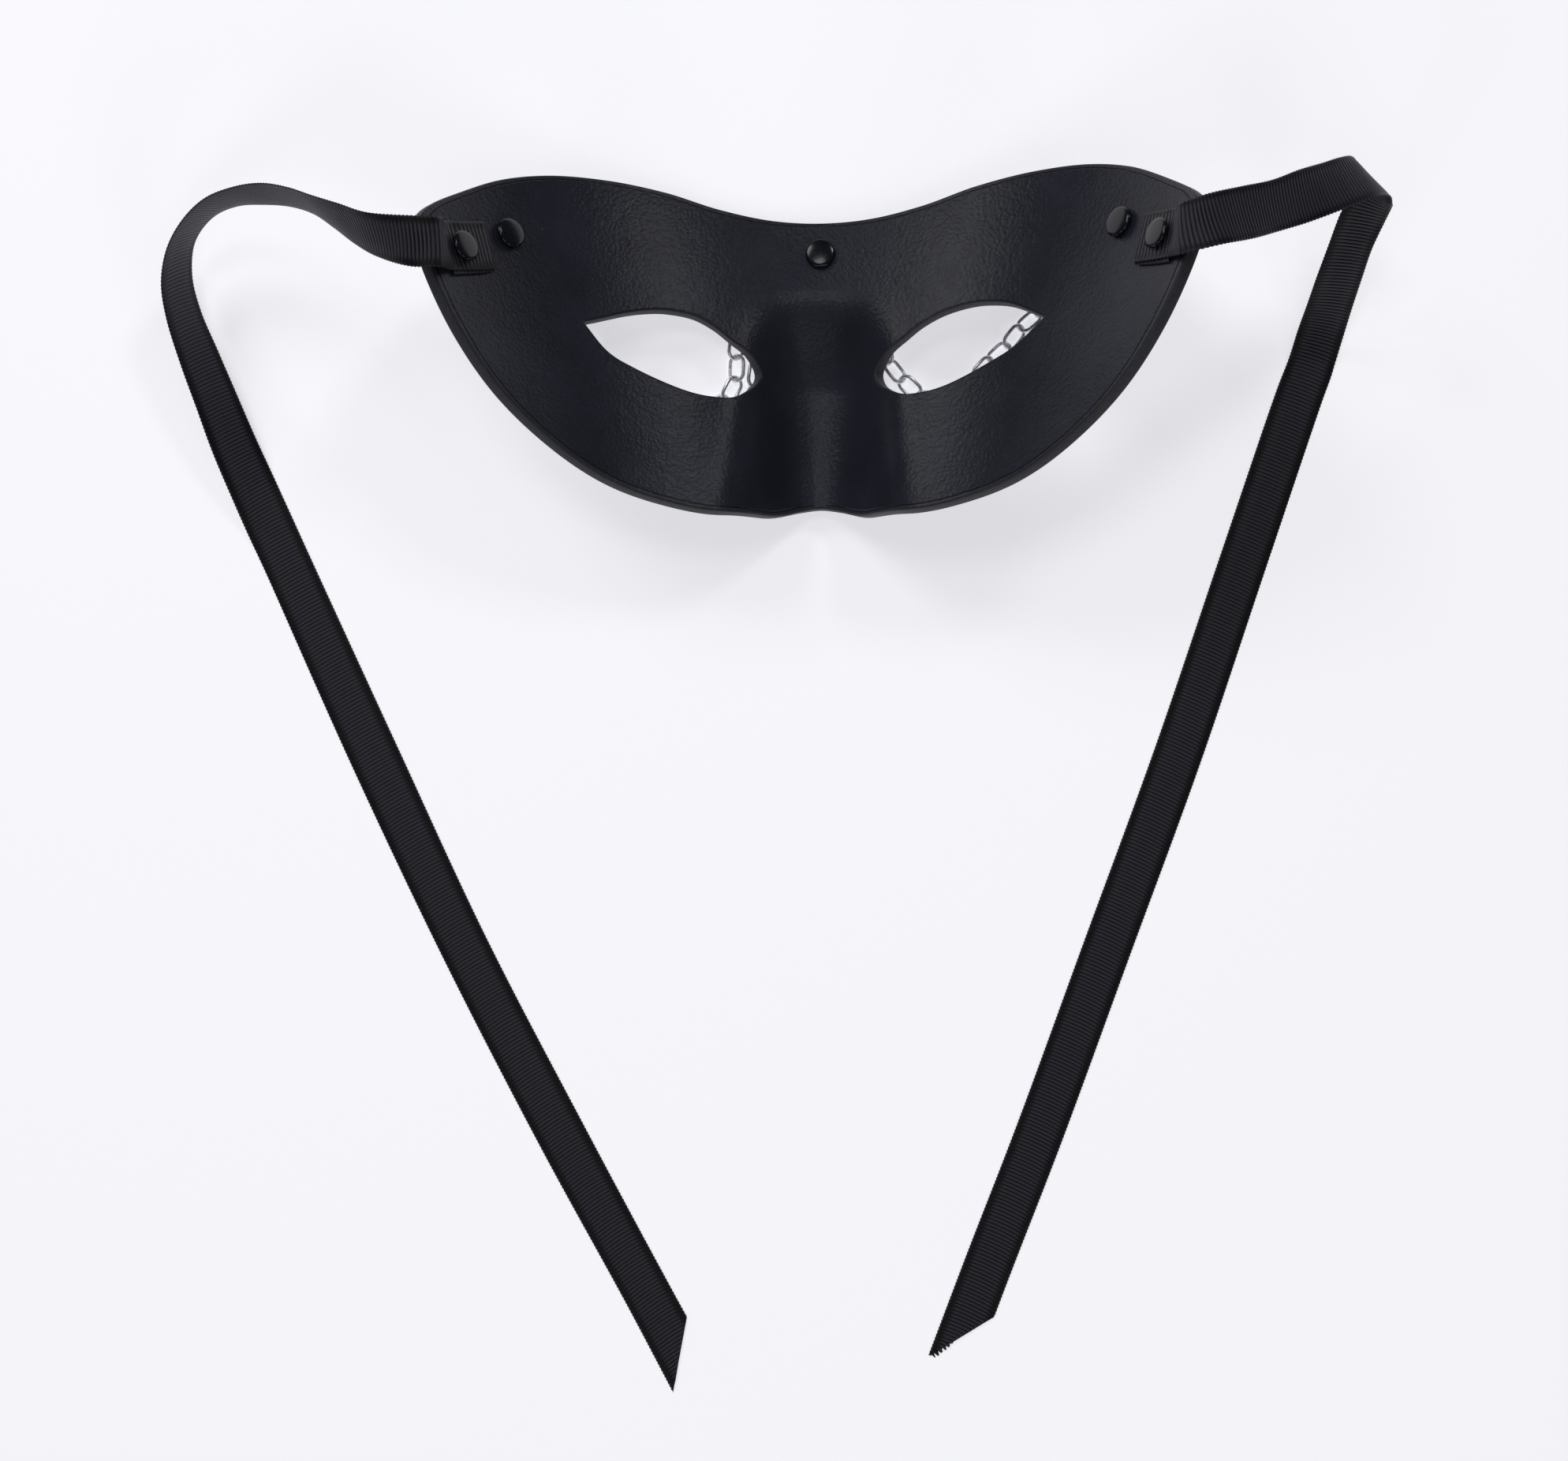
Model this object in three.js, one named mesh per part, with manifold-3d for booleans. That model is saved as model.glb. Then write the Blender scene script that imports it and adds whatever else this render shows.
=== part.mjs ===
import * as THREE from 'three';
import { mergeVertices } from 'three/addons/utils/BufferGeometryUtils.js';
import Module from 'manifold-3d';

// Moulded leather eye mask, lying face down with its inner face up.
// Millimetres, +Z up, +X to the wearer's right, +Y towards the brow.

// Leather sheet
const LEATHER = 3.2;
const SEAM_GAP = 0.3;

// How the sheet is moulded: it wraps round the face and bulges out over the nose
const WRAP_SQUARE = 0.0038;
const WRAP_FOURTH = 2.6e-7;
const WRAP_TAPER = 0.0039;
const BROW_RADIUS = 220;
const CHEEK_RADIUS = 600;
const BRIDGE_DEPTH = 10;
const BRIDGE_START = 13;
const BRIDGE_RUN = 22;
const NOSE_DEPTH = 10;
const NOSE_START = -6;
const NOSE_RUN = 40;
const NOSE_BEND = 0.1;
const SLOPE_STEP = 0.05;

// The nose groove's half width, and how steep its walls are, at the bridge and at the tip
const GROOVE_WIDTH = [14.5, 15];
const GROOVE_WALLS = [3.4, 2.5];
const GROOVE_START = -8;
const GROOVE_RUN = 38;

// How the mask lies: on its brow and the tip of its nose, lower at the left
const PITCH = THREE.MathUtils.degToRad(-16.4);
const ROLL = THREE.MathUtils.degToRad(-5.2);

// Half outline from the middle of the brow round the temple to the nose notch
const OUTLINE = [
  [0, 32.8], [13, 33.5], [26.6, 35.8], [41, 39], [55.3, 39.5], [68.7, 36.8], [79.5, 30.8], [88.8, 20.7],
  [93.2, 13.8], [94.3, 9.5], [93.8, 5], [91.4, -3], [84.5, -17], [75.4, -29], [63.5, -38.5], [51.4, -44.8],
  [38.5, -48], [23.7, -49.2], [12.4, -46], [4.5, -41.4], [0, -40.4],
];

// Eye holes from the pointed outer corner, over the top and back underneath; the left one, which is cut
// a little lower and fuller, is given as if it were on the right
const EYES = {
  right: [
    [58.2, -1.9], [49.9, 4.3], [44.7, 6.2], [39.5, 6.8], [32.5, 5.7], [27, 3.2], [22.3, -0.3], [17.2, -4],
    [14.7, -8.1], [15.6, -11.4], [18.3, -14.1], [22, -16.3], [26.7, -16.5], [33, -15.3], [44.7, -10.7],
    [50.4, -8],
  ],
  left: [
    [59.3, -1.7], [49.1, 3.7], [44.2, 5.4], [39.4, 6.2], [32.6, 5.6], [27.3, 3], [22.8, -0.5], [17.7, -4],
    [15.1, -8.1], [16, -11.3], [18.3, -14.1], [21.6, -16.6], [26.2, -17], [32.7, -16.2], [46.3, -11.8],
    [53, -8.6],
  ],
};
const EYE_CENTRE = [37, -5];

// Mesh of the sheet: steps along the rim, along the middle line and from eye hole to rim
const RIM_STEPS = 42;
const MIDDLE_STEPS = 14;
const RINGS = 5;
const EYE_STEPS = 240;

// Rivets: where they are on the sheet, and their size
const FOREHEAD_RIVET = [0, 24];
const TEMPLE_RIVET = [77.3, 16];
const RIBBON_RIVET = [86.8, 5.8];
const CAP_RADIUS = 3.95;
const BACK_CAP = 2;
const FRONT_CAP = 0.7;
const POST_RADIUS = 1.3;
const POST_HOLE_LENGTH = 16;
const RIVET_SIDES = 8;

// A cap's profile as shares of its radius and height
const DOME = [[0.96, 0], [1, 0.35], [0.86, 0.75], [0.5, 0.95], [0, 1]];

// Ribbons: flat grosgrain, folded under where a rivet holds it, each cut on the bias at its free end
const RIBBON_WIDTH = 12.7;
const RIBBON_THICKNESS = 0.6;
const RIBBON_REST = 0.35;
const FOLD_WIDTH = 13;
const FOLD_THICKNESS = 1.1;
const CREASE_BACK = 0.1;
const RIBBON_STEPS = 60;
const END_STEPS = 3;
const BIAS = THREE.MathUtils.degToRad(52);

// A strip's corners round its section, as sides of its width and of its thickness
const SECTION = [[-1, -1], [1, -1], [1, 1], [-1, 1]];

// The ribbons' riveted ends: places on the sheet of the upper and the lower edge
const LEFT_END = [
  [[-83, 16.1], [-79.8, 4]], [[-85, 14.8], [-81.7, 2.6]], [[-87.8, 12.9], [-84.5, 0.7]],
  [[-90.7, 10.9], [-87.7, -1.6]],
];
const RIGHT_END = [
  [[83.6, 14.3], [80.7, 2]], [[85.2, 13.5], [82.3, 1.2]], [[88, 12], [85.1, -0.3]],
  [[90.6, 10.7], [88.2, -1.9]],
];

// Their free lengths: points of the upper and the lower edge, from the temple to the table
const LEFT_FREE = [
  [[-88.8, 25.4, 55], [-88.8, 12.9, 56.5]], [[-94.8, 24.9, 58.5], [-95.3, 12.9, 56.5]],
  [[-106.3, 25.9, 57.5], [-105.3, 16.9, 49]], [[-113.8, 28.9, 53.5], [-111.3, 20.9, 44]],
  [[-121.3, 31.9, 49], [-117.3, 25.9, 38.5]], [[-128.3, 34.9, 44.5], [-123.3, 30.4, 34]],
  [[-135.8, 36.9, 40], [-130.3, 33.4, 29]], [[-143.8, 36.9, 35.5], [-137.8, 34.9, 24.5]],
  [[-151.8, 34.9, 31.5], [-145.8, 35.4, 20.5]], [[-158.3, 30.4, 27.5], [-153.3, 33.4, 16]],
  [[-163.3, 23.9, 23.5], [-158.8, 27.9, 12]], [[-165.8, 15.9, 19.5], [-160.3, 19.9, 9]],
  [[-165.3, 7.4, 16.5], [-158.8, 11.4, 6.5]], [[-162.3, -4.1, 14], [-154.3, 0.4, 5.5]],
  [[-158.8, -15.1, 11.5], [-149.8, -10.6, 4]], [[-155.3, -26.6, 8], [-145.3, -21.6, 2.5]],
  [[-151.3, -37.6, 4.5], [-140.8, -32.1, 0.5]], [[-147.3, -48.1, 1], [-135.8, -43.1, 0]],
  [[-142.3, -59.1, 0], [-130.8, -54.1, 0]], [[-119.8, -109.6, 0], [-107.8, -104.1, 0]],
  [[-95.8, -160.1, 0], [-84.3, -154.6, 0]], [[-69.8, -210.6, 0], [-58.3, -204.6, 0]],
  [[-46.8, -252.6, 0], [-35.8, -246.6, 0]], [[-34.5, -275.9, 0], [-23, -269.9, 0]],
];
const RIGHT_FREE = [
  [[89.2, 25.4, 70.5], [89.2, 12.9, 72]], [[95.2, 26.9, 73.5], [98.2, 14.9, 73]],
  [[103.7, 29.4, 70], [106.7, 17.4, 67.5]], [[111.7, 31.9, 65.5], [114.2, 20.4, 61.5]],
  [[119.2, 35.4, 61], [122.2, 23.4, 57.5]], [[126.2, 38.4, 55.5], [130.7, 26.9, 55]],
  [[130.7, 40.4, 52], [136.2, 29.4, 53]], [[134.7, 41.9, 47.5], [141.2, 31.4, 50]],
  [[137.2, 41.9, 42], [145.2, 32.4, 45]], [[138.7, 40.9, 37], [147.2, 31.9, 39]],
  [[137.7, 35.9, 34.5], [148.7, 32.4, 33]], [[135.7, 30.4, 31], [148.2, 29.9, 28]],
  [[134.2, 23.9, 25], [146.2, 23.9, 22.5]], [[132.7, 17.4, 19], [145.2, 17.9, 16.5]],
  [[131.7, 11.4, 12], [144.2, 11.4, 10]], [[130.7, 5.9, 5.5], [143.2, 4.4, 3.5]],
  [[129.2, -1.1, 1], [141.2, -4.1, 0]], [[126.2, -9.1, 0], [138.2, -12.6, 0]],
  [[110.7, -54.6, 0], [122.7, -58.6, 0]], [[93.7, -104.6, 0], [105.7, -109.1, 0]],
  [[75.2, -155.1, 0], [87.2, -159.6, 0]], [[56.7, -205.6, 0], [68.7, -210.1, 0]],
  [[43.7, -239.1, 0], [55.7, -243.6, 0]], [[33.3, -266.6, 0], [45.3, -271.1, 0]],
];

// Chain: oval links of round wire, pinned under the rivets' front caps and lying on edge by turns
const WIRE = 0.9;
const LINK_LENGTH = 7.55;
const LINK_WIDTH = 5.4;
const LINK_PITCH = 5.85;
const LINK_TURN = THREE.MathUtils.degToRad(35);
const TIGHT_TURN = THREE.MathUtils.degToRad(9);
const TIGHT_RUN = 26;
const PIN_REACH = 6.5;
const PIN_GAP = 1.5;
const PIN_BLEND = 5;
const LINK_SIDES = 6;
const WIRE_SIDES = 3;

// Chain routes over the table, and the heading of each pinned end round its rivet, in degrees
const CHAINS = {
  left_short: {
    side: -1, heading: 190, hang: 32,
    route: [
      [-10.3, 19.4, 1.2], [-15.3, 10.4, 1.7], [-17.7, 1.2, 1.9], [-17.5, -4.2, 1.9], [-19.3, -10.1, 1.9],
      [-26.3, -14.6, 1.9], [-38.3, -14.6, 1.9], [-50.3, -6.6, 1.9], [-59.3, 5.4, 1.9], [-67.3, 17.4, 3],
      [-71.3, 23.4, 10],
    ],
  },
  left_long: {
    side: -1, heading: 250, hang: -32,
    route: [
      [-1.8, 12.9, 2], [-7.3, 6.4, 1.9], [-11.3, 0.4, 1.9], [-12.5, -5.9, 1.9], [-13.3, -12.1, 1.9],
      [-19.3, -20.1, 1.9], [-32.3, -25.6, 1.9], [-47.3, -21.6, 1.9], [-59.3, -10.6, 2], [-67.3, 3.4, 2.3],
      [-71.3, 12.4, 5], [-71.8, 15.4, 12],
    ],
  },
  right_short: {
    side: 1, heading: 10, hang: -32,
    route: [
      [18.7, 28.4, 2], [26.7, 26.9, 2], [35.7, 28.9, 1.9], [45.7, 31.4, 1.9], [55.7, 29.9, 2],
      [64.7, 30.4, 2.7], [71.7, 31.9, 6], [75.2, 32.8, 15], [77.5, 33, 25],
    ],
  },
  right_long: {
    side: 1, heading: -50, hang: 32,
    route: [
      [14.7, 11.4, 1.8], [19.2, 3.9, 1.9], [23.8, -3.4, 1.9], [27.5, -7.6, 1.9], [32.7, -11.4, 1.9],
      [40.7, -10.6, 1.9], [50.1, -1.5, 1.9], [54.3, 2.5, 1.9], [58.5, 7.4, 1.9], [65.7, 13.4, 2.5],
      [72.7, 18.4, 10], [76.2, 20.4, 22],
    ],
  },
};

const wasm = await Module();
wasm.setup();

const leather = new THREE.MeshStandardMaterial({ color: 0x1c1e26, roughness: 0.6, metalness: 0 });
const lacquer = new THREE.MeshStandardMaterial({ color: 0x14161c, roughness: 0.3, metalness: 0.2 });
const grosgrain = new THREE.MeshStandardMaterial({ color: 0x121318, roughness: 0.9, metalness: 0 });
const silver = new THREE.MeshStandardMaterial({ color: 0xd8d8dc, roughness: 0.15, metalness: 1 });

// A closed three.js geometry as a solid for joining and cutting
function toSolid(geometry) {
  const bare = geometry.clone();
  bare.deleteAttribute('normal');
  bare.deleteAttribute('uv');
  const merged = mergeVertices(bare, 1e-4);
  const vertProperties = new Float32Array(merged.attributes.position.array);
  const triVerts = new Uint32Array(merged.index.array);
  return new wasm.Manifold(new wasm.Mesh({ numProp: 3, vertProperties, triVerts }));
}

function toGeometry(solid) {
  const { vertProperties, triVerts } = solid.getMesh();
  const geometry = new THREE.BufferGeometry();
  geometry.setAttribute('position', new THREE.BufferAttribute(vertProperties, 3));
  geometry.setIndex(new THREE.BufferAttribute(triVerts, 1));
  geometry.computeVertexNormals();
  return geometry;
}

function named(name, geometry, material) {
  const mesh = new THREE.Mesh(geometry, material.clone());
  mesh.name = name;
  return mesh;
}

// Height of the inner face over the sheet's own plane
function innerHeight(x, y) {
  const wrap = (WRAP_SQUARE * x ** 2 + WRAP_FOURTH * x ** 4) * (1 - WRAP_TAPER * y);
  const lift = y ** 2 / (2 * (y > 0 ? BROW_RADIUS : CHEEK_RADIUS));
  const bridge = BRIDGE_DEPTH * THREE.MathUtils.smoothstep((BRIDGE_START - y) / BRIDGE_RUN, 0, 1);
  const along = (NOSE_START - y) / NOSE_RUN;
  const nose = NOSE_DEPTH * (along + Math.hypot(along, NOSE_BEND)) / 2;
  const flare = THREE.MathUtils.clamp((GROOVE_START - y) / GROOVE_RUN, 0, 1);
  const width = THREE.MathUtils.lerp(...GROOVE_WIDTH, flare);
  const walls = THREE.MathUtils.lerp(...GROOVE_WALLS, flare);
  return wrap + lift - (bridge + nose) * Math.exp(-((Math.abs(x) / width) ** walls));
}

function sheetNormal(x, y) {
  const slopeX = (innerHeight(x + SLOPE_STEP, y) - innerHeight(x - SLOPE_STEP, y)) / (2 * SLOPE_STEP);
  const slopeY = (innerHeight(x, y + SLOPE_STEP) - innerHeight(x, y - SLOPE_STEP)) / (2 * SLOPE_STEP);
  return new THREE.Vector3(-slopeX, -slopeY, 1).normalize();
}

// A point at a given height over the inner face, along the sheet's normal
function onSheet([x, y], height = 0) {
  return new THREE.Vector3(x, y, innerHeight(x, y)).addScaledVector(sheetNormal(x, y), height);
}

const flat = ([x, y]) => new THREE.Vector3(x, y, 0);

// Points of one half's border: down the rim from brow to notch, then back up the middle line
function halfBorder() {
  const mirrored = OUTLINE.slice(1, -1).reverse().map(([x, y]) => [-x, y]);
  const rim = new THREE.CatmullRomCurve3([...OUTLINE, ...mirrored].map(flat), true);
  const border = [];
  for (let i = 0; i <= RIM_STEPS; i += 1) border.push(rim.getPointAt(i / (2 * RIM_STEPS)));
  const top = border[0].clone();
  const bottom = border[RIM_STEPS].clone();
  for (let i = 1; i < MIDDLE_STEPS; i += 1) border.push(bottom.clone().lerp(top, i / MIDDLE_STEPS));
  for (const point of [border[0], ...border.slice(RIM_STEPS)]) point.x = 0;
  return border;
}

// Where the ray from the eye's centre towards a border point crosses the eye hole's edge
function eyeEdge(target, edge) {
  const centre = flat(EYE_CENTRE);
  const ray = target.clone().sub(centre);
  for (let i = 0; i + 1 < edge.length; i += 1) {
    const start = edge[i].clone().sub(centre);
    const side = edge[i + 1].clone().sub(edge[i]);
    const cross = ray.x * side.y - ray.y * side.x;
    const along = (start.x * side.y - start.y * side.x) / cross;
    const across = (start.x * ray.y - start.y * ray.x) / cross;
    if (along > 0 && across >= 0 && across <= 1) return centre.addScaledVector(ray, along);
  }
  throw new Error('the ray misses the eye hole');
}

// Plan points of one half, ring by ring from the eye hole to the border
function halfRings(eye) {
  const edge = new THREE.CatmullRomCurve3([...eye, eye[0]].map(flat)).getPoints(EYE_STEPS);
  const border = halfBorder();
  const rings = [];
  for (let ring = 0; ring <= RINGS; ring += 1) {
    rings.push(border.map((point) => eyeEdge(point, edge).lerp(point, ring / RINGS)));
  }
  return rings;
}

function shellGeometry() {
  const halves = [[1, halfRings(EYES.right)], [-1, halfRings(EYES.left)]];
  const count = halves[0][1][0].length;
  const positions = [];
  const faces = [];
  for (const [side, rings] of halves) {
    for (const depth of [0, -LEATHER]) {
      for (const ring of rings) {
        for (const { x, y } of ring) positions.push(...onSheet([side * x, y], depth));
      }
    }
  }
  const index = (half, layer, ring, step) => (
    ((half * 2 + layer) * (RINGS + 1) + ring) * count + (step % count));
  const quad = (turned, a, b, c, d) => faces.push(...(turned ? [a, b, c, a, c, d] : [a, c, b, a, d, c]));
  for (const half of [0, 1]) {
    for (let step = 0; step < count; step += 1) {
      for (let ring = 0; ring < RINGS; ring += 1) {
        for (const layer of [0, 1]) {
          quad(half === layer, index(half, layer, ring, step), index(half, layer, ring, step + 1),
            index(half, layer, ring + 1, step + 1), index(half, layer, ring + 1, step));
        }
      }
      quad(half === 0, index(half, 0, 0, step), index(half, 1, 0, step),
        index(half, 1, 0, step + 1), index(half, 0, 0, step + 1));
      if (step < RIM_STEPS) {
        quad(half === 1, index(half, 0, RINGS, step), index(half, 1, RINGS, step),
          index(half, 1, RINGS, step + 1), index(half, 0, RINGS, step + 1));
      }
    }
  }
  const geometry = new THREE.BufferGeometry();
  geometry.setAttribute('position', new THREE.Float32BufferAttribute(positions, 3));
  geometry.setIndex(faces);
  return mergeVertices(geometry, 1e-4);
}

// Turns a shape made along +Z so that it stands on the sheet at a rivet
function standOnSheet(geometry, place) {
  const turn = new THREE.Quaternion().setFromUnitVectors(new THREE.Vector3(0, 0, 1), sheetNormal(...place));
  geometry.applyQuaternion(turn);
  geometry.translate(...onSheet(place));
  return geometry;
}

// Back cap over the inner face, post through the sheet and a lower front cap
function rivetGeometry(place, layers, pinned) {
  const back = layers + SEAM_GAP;
  const front = -LEATHER - (pinned ? PIN_GAP : SEAM_GAP);
  const dome = (base, height) => DOME.map(([radius, rise]) => [radius * CAP_RADIUS, base + rise * height]);
  const profile = [
    ...dome(front, -FRONT_CAP).reverse(), [POST_RADIUS, front],
    [POST_RADIUS, back], ...dome(back, BACK_CAP),
  ].map(([radius, height]) => new THREE.Vector2(radius, height));
  const lathe = new THREE.LatheGeometry(profile, RIVET_SIDES).rotateX(Math.PI / 2);
  return standOnSheet(lathe, place);
}

function postHole(place) {
  const radius = POST_RADIUS + SEAM_GAP;
  const hole = new THREE.CylinderGeometry(radius, radius, POST_HOLE_LENGTH, RIVET_SIDES);
  return standOnSheet(hole.rotateX(Math.PI / 2), place);
}

const mirror = ([x, y]) => [-x, y];
const places = {
  forehead: FOREHEAD_RIVET,
  temple_left: mirror(TEMPLE_RIVET),
  temple_right: TEMPLE_RIVET,
  ribbon_left: mirror(RIBBON_RIVET),
  ribbon_right: RIBBON_RIVET,
};

const mask = new THREE.Group();
mask.rotation.set(PITCH, ROLL, 0, 'YXZ');
let shell = toSolid(shellGeometry());
for (const place of Object.values(places)) shell = shell.subtract(toSolid(postHole(place)));
mask.add(named('mask_shell', toGeometry(shell), leather));
for (const [name, place] of Object.entries(places)) {
  const layers = name.startsWith('ribbon') ? SEAM_GAP + FOLD_THICKNESS : 0;
  mask.add(named(`rivet_${name}`, rivetGeometry(place, layers, !layers), lacquer));
}

// The origin is under the middle of the mask, on the table
const extent = new THREE.Box3().setFromObject(mask, true);
const middle = extent.getCenter(new THREE.Vector3());
mask.position.set(-middle.x, -middle.y, -extent.min.z);
mask.updateMatrixWorld(true);

// A flat strip's middle line, with the strip's width always running from lower to upper edge
class RibbonRoute extends THREE.Curve {
  constructor(stations) {
    super();
    [this.upper, this.lower] = [0, 1].map((edge) => (
      new THREE.CatmullRomCurve3(stations.map((station) => station[edge]))));
  }

  edges(t) {
    const points = [this.upper.getPoint(t), this.lower.getPoint(t)];
    for (const point of points) point.z = Math.max(point.z, RIBBON_REST);
    return points;
  }

  getPoint(t, target = new THREE.Vector3()) {
    const [upper, lower] = this.edges(t);
    return target.addVectors(upper, lower).multiplyScalar(0.5);
  }

  // The strip's four corners at a share of its length, going round its section
  corners(share, width, thickness) {
    const t = this.getUtoTmapping(share);
    const middle = this.getPoint(t);
    const tangent = this.getTangent(t);
    const [upper, lower] = this.edges(t);
    const across = upper.sub(lower);
    across.addScaledVector(tangent, -across.dot(tangent)).normalize();
    const up = new THREE.Vector3().crossVectors(tangent, across);
    return SECTION.map(([side, face]) => middle.clone()
      .addScaledVector(across, side * width / 2).addScaledVector(up, face * thickness / 2));
  }
}

// Both faces of a strip are split along the same diagonals, so that it stays even where it twists
function strip(stations, steps, width, thickness) {
  const route = new RibbonRoute(stations);
  const positions = [];
  const faces = [];
  const quad = (a, b, c, d) => faces.push(a, b, c, a, c, d);
  for (let step = 0; step <= steps; step += 1) {
    for (const corner of route.corners(step / steps, width, thickness)) positions.push(...corner);
  }
  for (let first = 0; first < 4 * steps; first += 4) {
    const [a, b, c, d] = [0, 1, 2, 3].map((corner) => first + corner);
    quad(a, b, b + 4, a + 4);
    quad(b, c, c + 4, b + 4);
    quad(d, d + 4, c + 4, c);
    quad(d, a, a + 4, d + 4);
  }
  const end = 4 * steps;
  quad(3, 2, 1, 0);
  quad(end, end + 1, end + 2, end + 3);
  const geometry = new THREE.BufferGeometry();
  geometry.setAttribute('position', new THREE.Float32BufferAttribute(positions, 3));
  geometry.setIndex(faces);
  return toSolid(geometry);
}

// The riveted end, two layers thick, lies on the sheet; past the rivet a single layer rises out of it
function ribbonGeometry(end, free, rivet) {
  const riveted = end.map((station) => station.map((place) => (
    mask.localToWorld(onSheet(place, SEAM_GAP + FOLD_THICKNESS / 2)))));
  const table = free.map((station) => station.map((point) => new THREE.Vector3(...point)));
  const [before, last] = riveted.slice(-2);
  const crease = last.map((point, edge) => point.clone().lerp(before[edge], CREASE_BACK));
  const fold = strip(riveted, END_STEPS, FOLD_WIDTH, FOLD_THICKNESS);
  const loose = strip([crease, ...table], RIBBON_STEPS, RIBBON_WIDTH, RIBBON_THICKNESS);
  const hole = toSolid(postHole(rivet).applyMatrix4(mask.matrixWorld));
  return toGeometry(fold.subtract(hole).add(loose.subtract(toSolid(biasCut(table))).subtract(hole)));
}

// Everything past the slanting cut that runs back from the upper edge's tip
function biasCut(table) {
  const [tip, lowerTip] = table[table.length - 1];
  const across = lowerTip.clone().sub(tip).normalize();
  const size = 2 * RIBBON_WIDTH;
  const block = new THREE.BoxGeometry(2 * size, size, size).translate(0, -size / 2, 0);
  block.rotateZ(Math.atan2(across.y, across.x) + BIAS);
  return block.translate(tip.x, tip.y, 0);
}

// One oval link lying flat, its length along Z and its upper side towards Y
function linkGeometry() {
  const middleRadius = (LINK_WIDTH - WIRE) / 2;
  const wire = [];
  for (let i = 0; i <= WIRE_SIDES; i += 1) {
    const turn = Math.PI * (1 - 2 * i / WIRE_SIDES);
    wire.push(new THREE.Vector2(middleRadius + Math.cos(turn) * WIRE / 2, -Math.sin(turn) * WIRE / 2));
  }
  const link = new THREE.LatheGeometry(wire, LINK_SIDES);
  const { position } = link.attributes;
  for (let i = 0; i < position.count; i += 1) {
    const z = position.getZ(i);
    position.setZ(i, z + Math.sign(z) * (LINK_LENGTH - LINK_WIDTH) / 2);
  }
  return link;
}

// A pinned end link: it lies against the sheet's outer face with one end under a rivet's cap
function pinnedLink(rivet, heading) {
  const normal = sheetNormal(...rivet).transformDirection(mask.matrixWorld);
  const away = heading.clone().addScaledVector(normal, -heading.dot(normal)).normalize();
  const post = mask.localToWorld(onSheet(rivet, -LEATHER - PIN_GAP / 2));
  return {
    normal,
    away,
    point: post.clone().addScaledVector(away, PIN_REACH),
    tip: post.clone().addScaledVector(away, PIN_REACH + LINK_PITCH / 2),
  };
}

function placedLink(point, tangent, facing) {
  const across = new THREE.Vector3().crossVectors(facing, tangent);
  const place = new THREE.Matrix4().makeBasis(across, facing, tangent).setPosition(point);
  return toSolid(linkGeometry().applyMatrix4(place));
}

function chainGeometry({ side, heading, hang, route }) {
  const angle = THREE.MathUtils.degToRad(heading);
  const start = pinnedLink(FOREHEAD_RIVET, new THREE.Vector3(Math.cos(angle), Math.sin(angle), 0));
  const temple = [side * TEMPLE_RIVET[0], TEMPLE_RIVET[1]];
  const downhill = pinnedLink(temple, new THREE.Vector3(0, 0, -1));
  downhill.away.applyAxisAngle(downhill.normal, THREE.MathUtils.degToRad(hang));
  const end = pinnedLink(temple, downhill.away);
  const line = new THREE.CatmullRomCurve3([
    start.point, start.tip, ...route.map((point) => new THREE.Vector3(...point)), end.tip, end.point,
  ]);
  const last = Math.round(line.getLength() / LINK_PITCH);
  const up = new THREE.Vector3(0, 0, 1);
  let chain = placedLink(start.point, start.away, start.normal);
  for (let i = 1; i < last; i += 1) {
    const tangent = line.getTangentAt(i / last);
    const open = THREE.MathUtils.smoothstep(i * LINK_PITCH, TIGHT_RUN / 2, TIGHT_RUN);
    const turn = (-1) ** i * THREE.MathUtils.lerp(TIGHT_TURN, LINK_TURN, open);
    const facing = up.clone().lerp(end.normal, Math.max(0, 1 - (last - i) / PIN_BLEND));
    facing.addScaledVector(tangent, -facing.dot(tangent)).normalize().applyAxisAngle(tangent, turn);
    chain = chain.add(placedLink(line.getPointAt(i / last), tangent, facing));
  }
  return toGeometry(chain.add(placedLink(end.point, end.away, end.normal)));
}

const eyeMask = new THREE.Group();
eyeMask.add(mask);
const ribbons = [
  ['ribbon_left', LEFT_END, LEFT_FREE, mirror(RIBBON_RIVET)],
  ['ribbon_right', RIGHT_END, RIGHT_FREE, RIBBON_RIVET],
];
for (const [name, end, free, rivet] of ribbons) {
  eyeMask.add(named(name, ribbonGeometry(end, free, rivet), grosgrain));
}
for (const [name, swag] of Object.entries(CHAINS)) {
  eyeMask.add(named(`chain_${name}`, chainGeometry(swag), silver));
}

export default eyeMask;
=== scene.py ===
import math

import bpy
import numpy as np
from mathutils import Matrix, Quaternion, Vector


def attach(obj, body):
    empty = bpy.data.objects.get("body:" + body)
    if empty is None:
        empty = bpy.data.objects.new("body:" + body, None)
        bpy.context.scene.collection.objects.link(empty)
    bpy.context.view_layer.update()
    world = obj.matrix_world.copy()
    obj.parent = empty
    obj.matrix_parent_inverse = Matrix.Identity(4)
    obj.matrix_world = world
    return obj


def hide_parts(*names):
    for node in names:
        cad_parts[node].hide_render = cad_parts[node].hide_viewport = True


bl_info = {
    "name": "Moulded eye mask",
    "version": (1, 0, 0),
    "blender": (4, 5, 0),
    "location": "View3D > Sidebar > Eye mask",
    "description": "Builds a moulded leather eye mask with ribbon ties and chain swags on a table",
    "category": "Add Mesh",
}

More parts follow.
